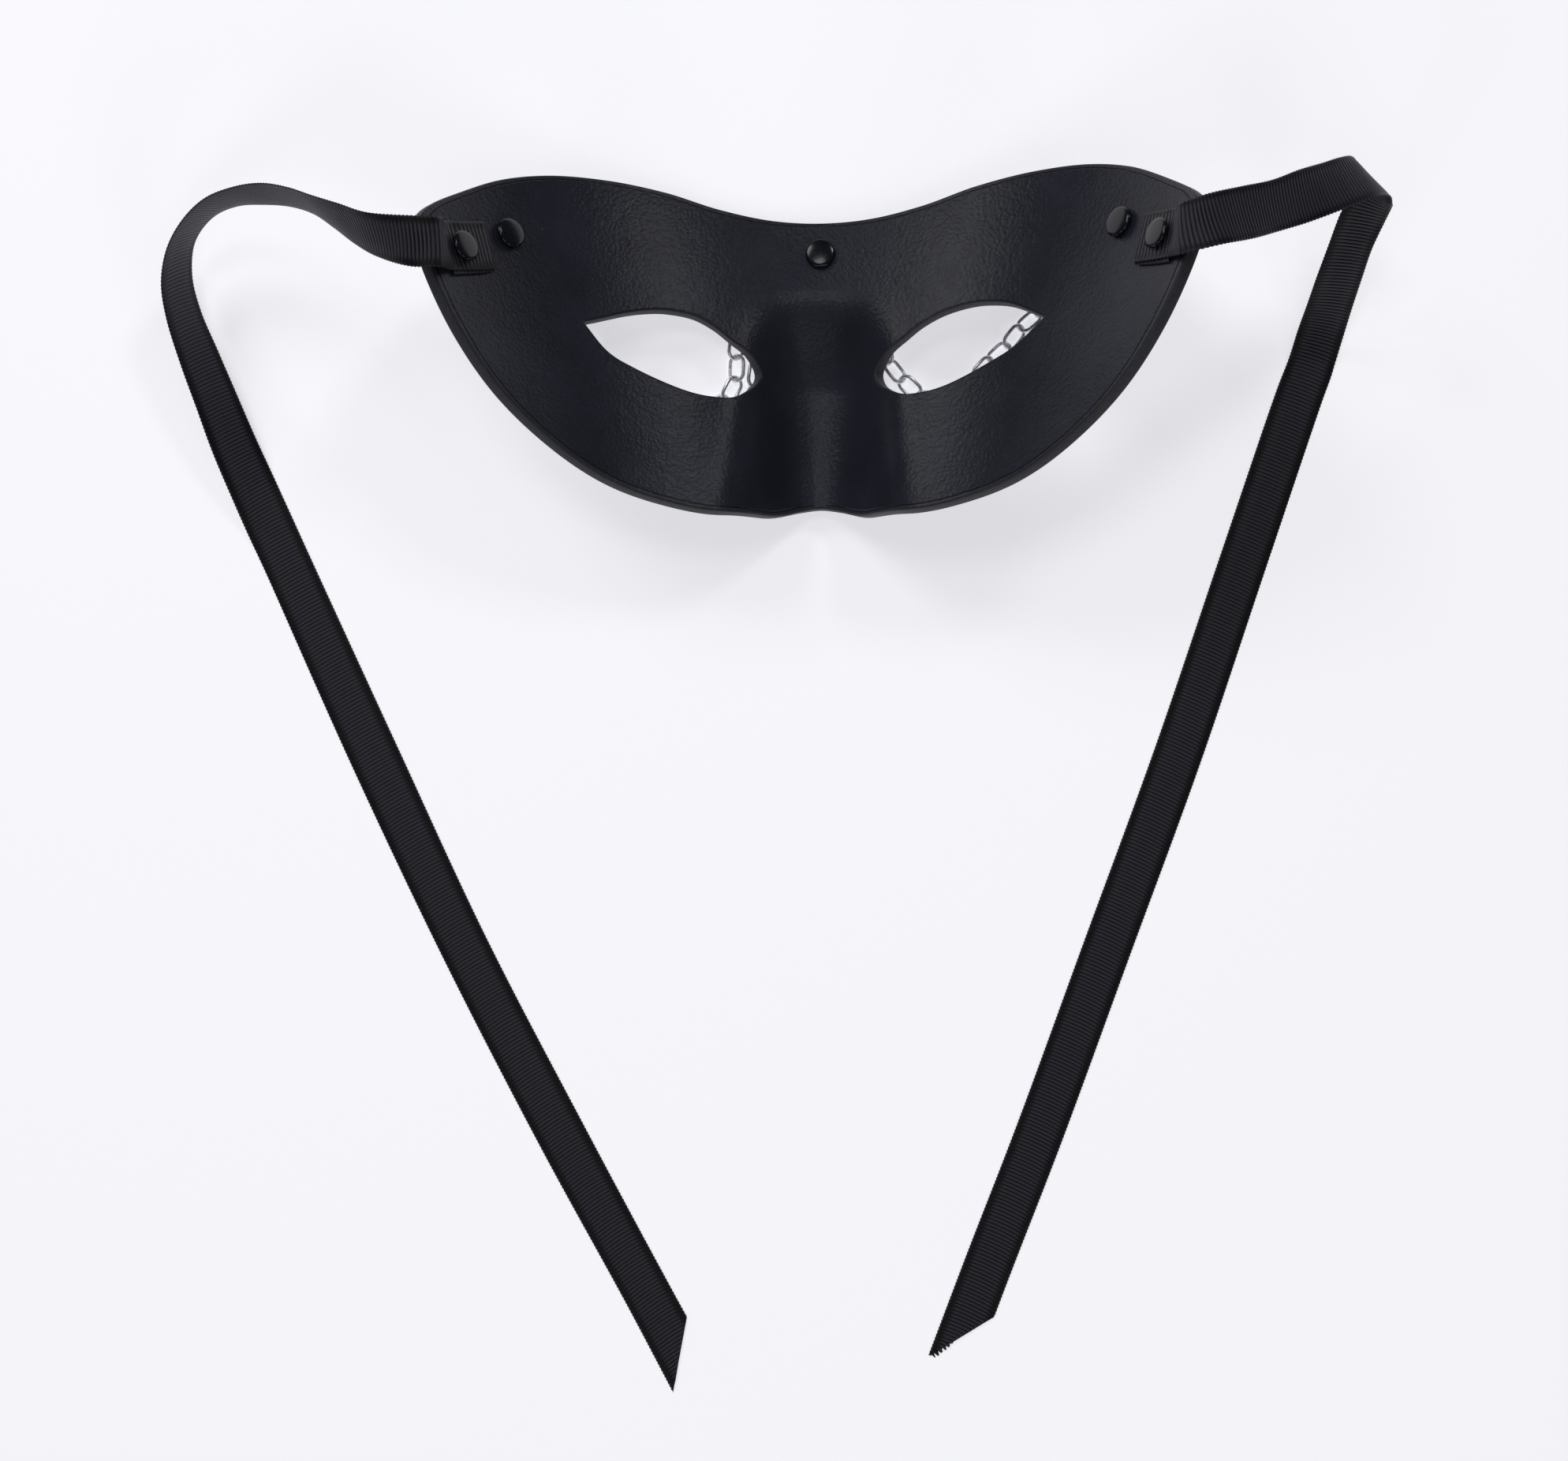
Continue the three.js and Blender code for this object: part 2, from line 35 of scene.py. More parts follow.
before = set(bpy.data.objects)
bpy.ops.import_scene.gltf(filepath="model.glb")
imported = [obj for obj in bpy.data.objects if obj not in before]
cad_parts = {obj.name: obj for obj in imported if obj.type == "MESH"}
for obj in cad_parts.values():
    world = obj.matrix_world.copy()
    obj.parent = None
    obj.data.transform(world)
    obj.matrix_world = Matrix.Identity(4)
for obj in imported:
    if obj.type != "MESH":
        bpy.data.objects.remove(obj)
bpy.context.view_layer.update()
MM = 0.001

# How the sheet is moulded, in millimetres: it wraps round the face and bulges out over the nose
WRAP_SQUARE = 0.0038
WRAP_FOURTH = 2.6e-7
WRAP_TAPER = 0.0039
BROW_RADIUS = 220
CHEEK_RADIUS = 600
BRIDGE_DEPTH = 10
BRIDGE_START = 15
BRIDGE_RUN = 26
NOSE_DEPTH = 10
NOSE_START = -6
NOSE_RUN = 40
NOSE_BEND = 0.1
GROOVE_WIDTH = (14.5, 15)
GROOVE_WALLS = (3.4, 2.5)
GROOVE_START = -8
GROOVE_RUN = 38

# Step over which the sheet's slope is taken, and the gap under which points of a curve are doubled
SLOPE_STEP = 0.05
DOUBLED = 1e-4

# A soft crest on each cheek beside the nose groove
CREST_HEIGHT = 0.4
CREST_PLACE = 21.5
CREST_WIDTH = 6.5
CREST_START = -9
CREST_RUN = 9

# How the mask lies: on its brow and the tip of its nose, lower at the left
PITCH = math.radians(-16.4)
ROLL = math.radians(-5.2)
LIE = Vector((4.2176, 2.3351, 11.3203))
MASK_TURN = Matrix.Rotation(ROLL, 3, "Y") @ Matrix.Rotation(PITCH, 3, "X")

# Half outline from the middle of the brow round the temple to the nose notch
OUTLINE = (
    (0, 32.8), (13, 33.5), (26.6, 35.8), (41, 39), (55.3, 39.5), (68.7, 36.8), (79.5, 30.8),
    (88.8, 20.7), (93.2, 13.8), (94.3, 9.5), (93.8, 5), (91.4, -3), (84.5, -17), (75.4, -29),
    (63.5, -38.5), (51.4, -44.8), (38.5, -48), (23.7, -49.2), (12.4, -46), (4.5, -41.4), (0, -40.4),
)

# Eye holes from their pointed outer corners, over the top and back underneath; the left one as if
# it were on the right
EYES = {
    "left": (
        (59.3, -1.7), (49.1, 3.7), (44.2, 5.4), (39.4, 6.2), (32.6, 5.6), (27.3, 3), (22.8, -0.5),
        (17.7, -4), (15.1, -8.1), (16, -11.3), (18.3, -14.1), (21.6, -16.6), (26.2, -17), (32.7, -16.2),
        (46.3, -11.8), (53, -8.6),
    ),
    "right": (
        (58.2, -1.9), (49.9, 4.3), (44.7, 6.2), (39.5, 6.8), (32.5, 5.7), (27, 3.2), (22.3, -0.3),
        (17.2, -4), (14.7, -8.1), (15.6, -11.4), (18.3, -14.1), (22, -16.3), (26.7, -16.5), (33, -15.3),
        (44.7, -10.7), (50.4, -8),
    ),
}
EYE_CENTRE = (37, -5)

# Mesh of each half of the sheet: steps along the rim and along the middle line, rows close to the
# cut edges and rows between them, steps that follow the drawn curves, the distance from the rim that
# the middle line is given, and how near in metres points merge where the halves meet
RIM_STEPS = 300
MIDDLE_STEPS = 84
EDGE_ROWS = (0, 0.9, 1.8)
BETWEEN_ROWS = 29
OUTLINE_STEPS = 8000
EYE_STEPS = 1200
FAR_FROM_RIM = 9
SEAM = 1e-6

# Rivets: where they are on the sheet, and the layers of ribbon under each cap
RIVETS = {
    "rivet_forehead": ((0, 24), 0),
    "rivet_temple_left": ((-77.3, 16), 0),
    "rivet_temple_right": ((77.3, 16), 0),
    "rivet_ribbon_left": ((-86.8, 5.8), 1.4),
    "rivet_ribbon_right": ((86.8, 5.8), 1.4),
}
SEAM_GAP = 0.3
PIN_GAP = 1.5
LEATHER = 3.2

# A cap's rounded profile, from its top to its underside, as shares of its radius and height
CAP_PROFILE = (
    (0, 1), (0.3, 0.985), (0.55, 0.95), (0.74, 0.905), (0.86, 0.85), (0.93, 0.78), (0.975, 0.68),
    (1, 0.52), (0.99, 0.38), (0.95, 0.29), (0.85, 0.26),
)
RIVET_SEGMENTS = 48

# The ribbons' riveted ends: places on the sheet of the upper and the lower edge
ENDS = {
    "left": (
        ((-83, 16.1), (-79.8, 4)), ((-85, 14.8), (-81.7, 2.6)), ((-87.8, 12.9), (-84.5, 0.7)),
        ((-90.7, 10.9), (-87.7, -1.6)),
    ),
    "right": (
        ((83.6, 14.3), (80.7, 2)), ((85.2, 13.5), (82.3, 1.2)), ((88, 12), (85.1, -0.3)),
        ((90.6, 10.7), (88.2, -1.9)),
    ),
}

# Their free lengths: points of the upper and the lower edge, from the temple to the table
FREE = {
    "left": (
        ((-88.8, 25.4, 55), (-88.8, 12.9, 56.5)), ((-94.8, 24.9, 58.5), (-95.3, 12.9, 56.5)),
        ((-106.3, 25.9, 57.5), (-105.3, 16.9, 49)), ((-113.8, 28.9, 53.5), (-111.3, 20.9, 44)),
        ((-121.3, 31.9, 49), (-117.3, 25.9, 38.5)), ((-128.3, 34.9, 44.5), (-123.3, 30.4, 34)),
        ((-135.8, 36.9, 40), (-130.3, 33.4, 29)), ((-143.8, 36.9, 35.5), (-137.8, 34.9, 24.5)),
        ((-151.8, 34.9, 31.5), (-145.8, 35.4, 20.5)), ((-158.3, 30.4, 27.5), (-153.3, 33.4, 16)),
        ((-163.3, 23.9, 23.5), (-158.8, 27.9, 12)), ((-165.8, 15.9, 19.5), (-160.3, 19.9, 9)),
        ((-165.3, 7.4, 16.5), (-158.8, 11.4, 6.5)), ((-162.3, -4.1, 14), (-154.3, 0.4, 5.5)),
        ((-158.8, -15.1, 11.5), (-149.8, -10.6, 4)), ((-155.3, -26.6, 8), (-145.3, -21.6, 2.5)),
        ((-151.3, -37.6, 4.5), (-140.8, -32.1, 0.5)), ((-147.3, -48.1, 1), (-135.8, -43.1, 0)),
        ((-142.3, -59.1, 0), (-130.8, -54.1, 0)), ((-119.8, -109.6, 0), (-107.8, -104.1, 0)),
        ((-95.8, -160.1, 0), (-84.3, -154.6, 0)), ((-69.8, -210.6, 0), (-58.3, -204.6, 0)),
        ((-46.8, -252.6, 0), (-35.8, -246.6, 0)), ((-34.5, -275.9, 0), (-23, -269.9, 0)),
    ),
    "right": (
        ((89.2, 25.4, 70.5), (89.2, 12.9, 72)), ((95.2, 26.9, 73.5), (98.2, 14.9, 73)),
        ((103.7, 29.4, 70), (106.7, 17.4, 67.5)), ((111.7, 31.9, 65.5), (114.2, 20.4, 61.5)),
        ((119.2, 35.4, 61), (122.2, 23.4, 57.5)), ((126.2, 38.4, 55.5), (130.7, 26.9, 55)),
        ((130.7, 40.4, 52), (136.2, 29.4, 53)), ((134.7, 41.9, 47.5), (141.2, 31.4, 50)),
        ((137.2, 41.9, 42), (145.2, 32.4, 45)), ((138.7, 40.9, 37), (147.2, 31.9, 39)),
        ((137.7, 35.9, 34.5), (148.7, 32.4, 33)), ((135.7, 30.4, 31), (148.2, 29.9, 28)),
        ((134.2, 23.9, 25), (146.2, 23.9, 22.5)), ((132.7, 17.4, 19), (145.2, 17.9, 16.5)),
        ((131.7, 11.4, 12), (144.2, 11.4, 10)), ((130.7, 5.9, 5.5), (143.2, 4.4, 3.5)),
        ((129.2, -1.1, 1), (141.2, -4.1, 0)), ((126.2, -9.1, 0), (138.2, -12.6, 0)),
        ((110.7, -54.6, 0), (122.7, -58.6, 0)), ((93.7, -104.6, 0), (105.7, -109.1, 0)),
        ((75.2, -155.1, 0), (87.2, -159.6, 0)), ((56.7, -205.6, 0), (68.7, -210.1, 0)),
        ((43.7, -239.1, 0), (55.7, -243.6, 0)), ((33.3, -266.6, 0), (45.3, -271.1, 0)),
    ),
}
RIBBON_REST = 0.35

# The fold at a riveted end: heights of the flap and of the layer over it, how far the flap slips out
# at the lower side, and where the layer over it is followed, as shares of its length
FLAP_HEIGHT = 0.6
OVER_HEIGHT = 1.2
FLAP_SLIP = (0.3, 1.0)
OVER_SHARES = (0.34, 0.67, 1)
FLAP_STEPS = 400
FOLD_STEPS = 40
LINE_STEPS = 4000

# The slanting cut, how far a ribbon's path is followed past it, how near its plane its points lie, and
# how far its threads are drawn out
BIAS = math.radians(52)
ON_CUT = 0.01
FRAY = {"left": 0.15, "right": 1.3}
FRAY_RUN = 8
SIDES = {"left": -1, "right": 1}

# Ribs: how far a cap spreads them and how much wider they lie near it, and their lean and bow
RIB_SPREAD = 0.9
SPREAD_REACH = 5
END_EASE = 0.3
END_RUN = 9
RIB_LEAN = {"left": 0.6, "right": -0.5}
RIB_BOW = -0.35
LEAN_RUN = 14

# One rib's rows of points and their heights, and the points' places across the ribbon's two faces
RIB_ROWS = (0, 0.13, 0.3, 0.5, 0.7, 0.87)
RIB_HEIGHTS = (0, 0.5, 0.9, 1, 0.9, 0.5)
TOP_ACROSS = (
    -0.985, -0.94, -0.885, -0.83, -0.7, -0.5, -0.25, 0, 0.25, 0.5, 0.7, 0.83, 0.885, 0.94, 0.985,
)
UNDER_ACROSS = (0.96, 0.87, 0.6, 0.3, 0, -0.3, -0.6, -0.87, -0.96)

# The selvedge: where it starts, the groove that sets it off, which the ribs' painted shade darkens too,
# and how its threads turn and bulge
SELVEDGE = 0.86
SELVEDGE_DIP = 0.75
SELVEDGE_DIP_WIDTH = 0.035
TWIST = 0.15
TWIST_HEIGHT = 0.45
BULGE = 0.014
BULGE_FROM = 0.9
THIN_EDGE = 0.75
THIN_FROM = 0.95

# Chain routes over the table, and the heading of each pinned end round its rivet, in degrees
CHAINS = {
    "left_short": {
        "side": "left", "heading": 190, "hang": 32,
        "route": (
            (-10.3, 19.4, 1.2), (-15.3, 10.4, 1.7), (-17.7, 1.2, 1.9), (-17.5, -4.2, 1.9),
            (-19.3, -10.1, 1.9), (-26.3, -14.6, 1.9), (-38.3, -14.6, 1.9), (-50.3, -6.6, 1.9),
            (-59.3, 5.4, 1.9), (-67.3, 17.4, 3), (-71.3, 23.4, 10),
        ),
    },
    "left_long": {
        "side": "left", "heading": 250, "hang": -32,
        "route": (
            (-1.8, 12.9, 2), (-7.3, 6.4, 1.9), (-11.3, 0.4, 1.9), (-12.5, -5.9, 1.9),
            (-13.3, -12.1, 1.9), (-19.3, -20.1, 1.9), (-32.3, -25.6, 1.9), (-47.3, -21.6, 1.9),
            (-59.3, -10.6, 2), (-67.3, 3.4, 2.3), (-71.3, 12.4, 5), (-71.8, 15.4, 12),
        ),
    },
    "right_short": {
        "side": "right", "heading": 10, "hang": -32,
        "route": (
            (18.7, 28.4, 2), (26.7, 26.9, 2), (35.7, 28.9, 1.9), (45.7, 31.4, 1.9), (55.7, 29.9, 2),
            (64.7, 30.4, 2.7), (71.7, 31.9, 6), (75.2, 32.8, 15), (77.5, 33, 25),
        ),
    },
    "right_long": {
        "side": "right", "heading": -50, "hang": 32,
        "route": (
            (14.7, 11.4, 1.8), (19.2, 3.9, 1.9), (23.8, -3.4, 1.9), (27.5, -7.6, 1.9),
            (32.7, -11.4, 1.9), (40.7, -10.6, 1.9), (50.1, -1.5, 1.9), (54.3, 2.5, 1.9),
            (58.5, 7.4, 1.9), (65.7, 13.4, 2.5), (72.7, 18.4, 10), (76.2, 20.4, 22),
        ),
    },
}

# How links turn out of the flat by turns, less in the tight first stretch, how a pinned link lies, and
# how near a link's middle line a point in metres counts as on it
LINK_TURN = math.radians(35)
TIGHT_TURN = math.radians(9)
TIGHT_RUN = 26
PIN_REACH = 6.5
PIN_BLEND = 5
LINK_SEGMENTS = 28
WIRE_SEGMENTS = 10
ON_AXIS = 1e-9

# Soft boxes round the table: direction, size in metres and share of the key light's power
BOX_DISTANCE = 1.5
SOFT_BOXES = (
    ("right", (0.36, 0.61, 0.7), 0.25, 0.6),
    ("left", (-0.51, 0.59, 0.62), 0.5, 1),
    ("top", (-0.16, 0.29, 0.94), 0.35, 0.45),
    ("front", (0, -0.5, 0.87), 0.6, 0.4),
    ("front_right", (0.45, -0.72, 0.53), 0.5, 0.3),
    ("front_left", (-0.45, -0.72, 0.53), 0.5, 0.3),
)

# The camera looks straight down from where the photograph was taken; the table's width and the
# colour of the room's light
CAMERA_PLACE = (-0.00493, -0.09975, 0.64)
CAMERA_LENS = 55.166
CAMERA_FILM = 36
TABLE_SIZE = 6
ROOM_LIGHT = (0.93, 0.95, 1)

# Finish of the leather: in millimetres from the border, the pinched band's soft edge, the middle and
# half width of the crease and its painted shade, and how ragged both are; then the pale specks' spacing
# in metres, their soft edge as a share of it, and their colour
BAND_EDGE = (0.9, 1.1)
CREASE_PLACE = 1.25
CREASE_WIDTH = (0.04, 0.2)
RAGGED = 0.12
SPECK_SPACING = 0.009
SPECK_EDGE = (0.01, 0.016)
SPECK_COLOUR = (0.16, 0.16, 0.17)

# Fine threads side by side across a ribbon, and the span in which nearly all values of a noise lie
THREADS_ACROSS = 55
NOISE_SPAN = (0.3, 0.7)


class LeatherSettings(bpy.types.PropertyGroup):
    thickness: bpy.props.FloatProperty(
        name="Thickness", description="Thickness of the moulded leather", default=0.0032,
        min=0.001, max=0.006, unit="LENGTH", precision=4)
    edge_round: bpy.props.FloatProperty(
        name="Edge rounding", description="Width of the rounding along every cut edge", default=0.0005,
        min=0.0001, max=0.001, unit="LENGTH", precision=4)
    colour: bpy.props.FloatVectorProperty(
        name="Dye", description="Colour of the dyed face", default=(0.0225, 0.0238, 0.035),
        min=0, max=1, subtype="COLOR")
    edge_colour: bpy.props.FloatVectorProperty(
        name="Edge dye", description="Colour of the dyed and rubbed cut edge",
        default=(0.031, 0.032, 0.041), min=0, max=1, subtype="COLOR")
    grain: bpy.props.FloatProperty(
        name="Grain", description="Size of the leather's grain", default=0.001,
        min=0.0002, max=0.003, unit="LENGTH", precision=4)


class RibbonSettings(bpy.types.PropertyGroup):
    width: bpy.props.FloatProperty(
        name="Width", description="Width of the ribbon from edge to edge", default=0.0127,
        min=0.005, max=0.03, unit="LENGTH", precision=4)
    rib_pitch: bpy.props.FloatProperty(
        name="Rib pitch", description="Distance from rib to rib along the ribbon", default=0.00097,
        min=0.0005, max=0.003, unit="LENGTH", precision=5)
    ridge: bpy.props.FloatProperty(
        name="Ridge", description="Half the thickness at the top of a rib", default=0.00027,
        min=0.0001, max=0.0006, unit="LENGTH", precision=5)
    valley: bpy.props.FloatProperty(
        name="Valley", description="Half the thickness between two ribs", default=0.00011,
        min=0.00005, max=0.0005, unit="LENGTH", precision=5)
    colour: bpy.props.FloatVectorProperty(
        name="Colour", description="Colour of the ribs' tops", default=(0.048, 0.048, 0.068),
        min=0, max=1, subtype="COLOR")


class RivetSettings(bpy.types.PropertyGroup):
    cap_radius: bpy.props.FloatProperty(
        name="Cap radius", description="Radius of a rivet's cap", default=0.00395,
        min=0.002, max=0.006, unit="LENGTH", precision=4)
    cap_height: bpy.props.FloatProperty(
        name="Cap height", description="Height of the cap on the inner face", default=0.0018,
        min=0.0005, max=0.004, unit="LENGTH", precision=4)
    front_height: bpy.props.FloatProperty(
        name="Front cap height", description="Height of the lower cap on the front", default=0.0007,
        min=0.0003, max=0.003, unit="LENGTH", precision=4)
    post_radius: bpy.props.FloatProperty(
        name="Post radius", description="Radius of the post between the caps", default=0.0013,
        min=0.0005, max=0.003, unit="LENGTH", precision=4)
    colour: bpy.props.FloatVectorProperty(
        name="Lacquer", description="Colour of the black lacquer", default=(0.006, 0.007, 0.011),
        min=0, max=1, subtype="COLOR")


class ChainSettings(bpy.types.PropertyGroup):
    wire: bpy.props.FloatProperty(
        name="Wire", description="Thickness of the links' round wire", default=0.00105,
        min=0.0004, max=0.002, unit="LENGTH", precision=5)
    link_length: bpy.props.FloatProperty(
        name="Link length", description="Length of one link over all", default=0.00775,
        min=0.003, max=0.02, unit="LENGTH", precision=5)
    link_width: bpy.props.FloatProperty(
        name="Link width", description="Width of one link over all", default=0.0054,
        min=0.002, max=0.015, unit="LENGTH", precision=5)
    pitch: bpy.props.FloatProperty(
        name="Pitch", description="Distance from link to link along the chain", default=0.00585,
        min=0.002, max=0.02, unit="LENGTH", precision=5)
    colour: bpy.props.FloatVectorProperty(
        name="Plating", description="Colour of the silver plating", default=(0.9, 0.9, 0.92),
        min=0, max=1, subtype="COLOR")


class StageSettings(bpy.types.PropertyGroup):
    colour: bpy.props.FloatVectorProperty(
        name="Table", description="Colour of the pale table", default=(0.8, 0.8, 0.835),
        min=0, max=1, subtype="COLOR")
    underlight: bpy.props.FloatProperty(
        name="Underlight", description="Strength of the light that comes up through the table",
        default=0.72, min=0, max=2)
    soft_light: bpy.props.FloatProperty(
        name="Soft light", description="Strength of the light from all round", default=0.05,
        min=0, max=5)
    key_light: bpy.props.FloatProperty(
        name="Key light", description="Power of the left soft box, which the others follow",
        default=4.2, min=0, unit="POWER")


def inner_height(x, y):
    """Height of the inner face over the sheet's own plane, in millimetres."""
    x, y = np.asarray(x, float), np.asarray(y, float)
    wrap = (WRAP_SQUARE * x**2 + WRAP_FOURTH * x**4) * (1 - WRAP_TAPER * y)
    lift = y**2 / (2 * np.where(y > 0, BROW_RADIUS, CHEEK_RADIUS))
    share = np.clip((BRIDGE_START - y) / BRIDGE_RUN, 0, 1)
    bridge = BRIDGE_DEPTH * share**2 * (3 - 2 * share)
    along = (NOSE_START - y) / NOSE_RUN
    nose = NOSE_DEPTH * (along + np.hypot(along, NOSE_BEND)) / 2
    flare = np.clip((GROOVE_START - y) / GROOVE_RUN, 0, 1)
    width = GROOVE_WIDTH[0] + (GROOVE_WIDTH[1] - GROOVE_WIDTH[0]) * flare
    walls = GROOVE_WALLS[0] + (GROOVE_WALLS[1] - GROOVE_WALLS[0]) * flare
    fade = np.clip((CREST_START - y) / CREST_RUN, 0, 1)
    beside = (np.abs(x) - CREST_PLACE) / CREST_WIDTH
    crest = CREST_HEIGHT * fade**2 * (3 - 2 * fade) * np.exp(-(beside**2))
    return wrap + lift + crest - (bridge + nose) * np.exp(-((np.abs(x) / width) ** walls))


def sheet_normal(x, y):
    """Unit normals of the inner face."""
    step = SLOPE_STEP
    slope_x = (inner_height(x + step, y) - inner_height(x - step, y)) / (2 * step)
    slope_y = (inner_height(x, y + step) - inner_height(x, y - step)) / (2 * step)
    normal = np.stack([-slope_x, -slope_y, np.ones_like(slope_x)], axis=-1)
    return normal / np.linalg.norm(normal, axis=-1, keepdims=True)


def on_sheet(places, height=0.0):
    """Points at a height over the inner face, in the mask's own frame, for an array of plan places."""
    places = np.asarray(places, float)
    x, y = places[..., 0], places[..., 1]
    lift = np.asarray(height, float)[..., None] * sheet_normal(x, y)
    return np.stack([x, y, inner_height(x, y)], axis=-1) + lift


def as_it_lies(points):
    """Turns points of the mask's own frame into the table's frame, still in millimetres."""
    return np.asarray(points, float) @ np.array(MASK_TURN).T + np.array(LIE)


def spline(points, steps, closed=False):
    """Points of a centripetal Catmull-Rom curve at steps from 0 to 1."""
    points = np.asarray(points, float)
    count = len(points)
    spans = count if closed else count - 1
    place = np.clip(np.asarray(steps, float), 0, 1) * spans
    span = np.minimum(place.astype(int), spans - 1)
    share = (place - span)[:, None]
    if closed:
        corners = [points[(span + shift) % count] for shift in (-1, 0, 1, 2)]
    else:
        longer = np.vstack([2 * points[0] - points[1], points, 2 * points[-1] - points[-2]])
        corners = [longer[span + shift] for shift in range(4)]
    before, start, end, after = corners
    gaps = [np.linalg.norm(b - a, axis=1)[:, None] ** 0.5 for a, b in zip(corners, corners[1:])]
    gaps[1] = np.where(gaps[1] < DOUBLED, 1.0, gaps[1])
    gaps[0] = np.where(gaps[0] < DOUBLED, gaps[1], gaps[0])
    gaps[2] = np.where(gaps[2] < DOUBLED, gaps[1], gaps[2])
    leave = (start - before) / gaps[0] - (end - before) / (gaps[0] + gaps[1]) + (end - start) / gaps[1]
    arrive = (end - start) / gaps[1] - (after - start) / (gaps[1] + gaps[2]) + (after - end) / gaps[2]
    leave, arrive = leave * gaps[1], arrive * gaps[1]
    return (start + leave * share + (3 * (end - start) - 2 * leave - arrive) * share**2
            + (2 * (start - end) + leave + arrive) * share**3)


def running_length(line):
    """Length along a dense line up to each of its points."""
    return np.concatenate([[0], np.cumsum(np.linalg.norm(np.diff(line, axis=0), axis=1))])


def each_axis(places, known, values):
    """Vectors interpolated axis by axis."""
    return np.stack([np.interp(places, known, column) for column in values.T], axis=1)


def unit(vectors):
    return vectors / np.linalg.norm(vectors, axis=-1, keepdims=True)


def select_only(obj):
    bpy.ops.object.select_all(action="DESELECT")
    obj.select_set(True)
    bpy.context.view_layer.objects.active = obj


def grid_sheet(name, columns, rows):
    """Adds a flat grid; returns it with the column and the row of each of its points."""
    bpy.ops.mesh.primitive_grid_add(x_subdivisions=columns, y_subdivisions=rows, size=1)
    obj = bpy.context.active_object
    obj.name = obj.data.name = name
    places = read_points(obj)[:, :2]
    steps = np.rint((places - places.min(axis=0)) / np.ptp(places, axis=0) * (columns, rows))
    return obj, *steps.astype(int).T


def read_points(obj):
    places = np.empty(len(obj.data.vertices) * 3)
    obj.data.vertices.foreach_get("co", places)
    return places.reshape(-1, 3)


def move_points(obj, points):
    obj.data.vertices.foreach_set("co", np.asarray(points, float).ravel())
    obj.data.update()


def weld(obj, distance=1e-7):
    """Merges doubled points and turns every face outwards."""
    select_only(obj)
    bpy.ops.object.mode_set(mode="EDIT")
    bpy.ops.mesh.select_all(action="SELECT")
    bpy.ops.mesh.remove_doubles(threshold=distance)
    bpy.ops.mesh.normals_make_consistent(inside=False)
    bpy.ops.object.mode_set(mode="OBJECT")


def apply_modifiers(obj):
    select_only(obj)
    for modifier in list(obj.modifiers):
        bpy.ops.object.modifier_apply(modifier=modifier.name)


def smooth(obj, degrees):
    select_only(obj)
    bpy.ops.object.shade_smooth_by_angle(angle=math.radians(degrees))


def join_all(parts, name):
    bpy.ops.object.select_all(action="DESELECT")
    for part in parts:
        part.select_set(True)
    bpy.context.view_layer.objects.active = parts[0]
    bpy.ops.object.join()
    joined = bpy.context.active_object
    joined.name = joined.data.name = name
    return joined


def lay_down(obj):
    """Turns a mesh of the mask's own frame into the table's frame."""
    obj.data.transform(Matrix.Translation(LIE * MM) @ MASK_TURN.to_4x4())


def finish_piece(obj, node):
    """Settles a piece at the origin, lets it ride on the mask's body and stand for its CAD node."""
    select_only(obj)
    bpy.ops.object.transform_apply(location=True, rotation=True, scale=True)
    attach(obj, "root")
    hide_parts(node)


def times(share, colour):
    return tuple(share * c for c in colour)


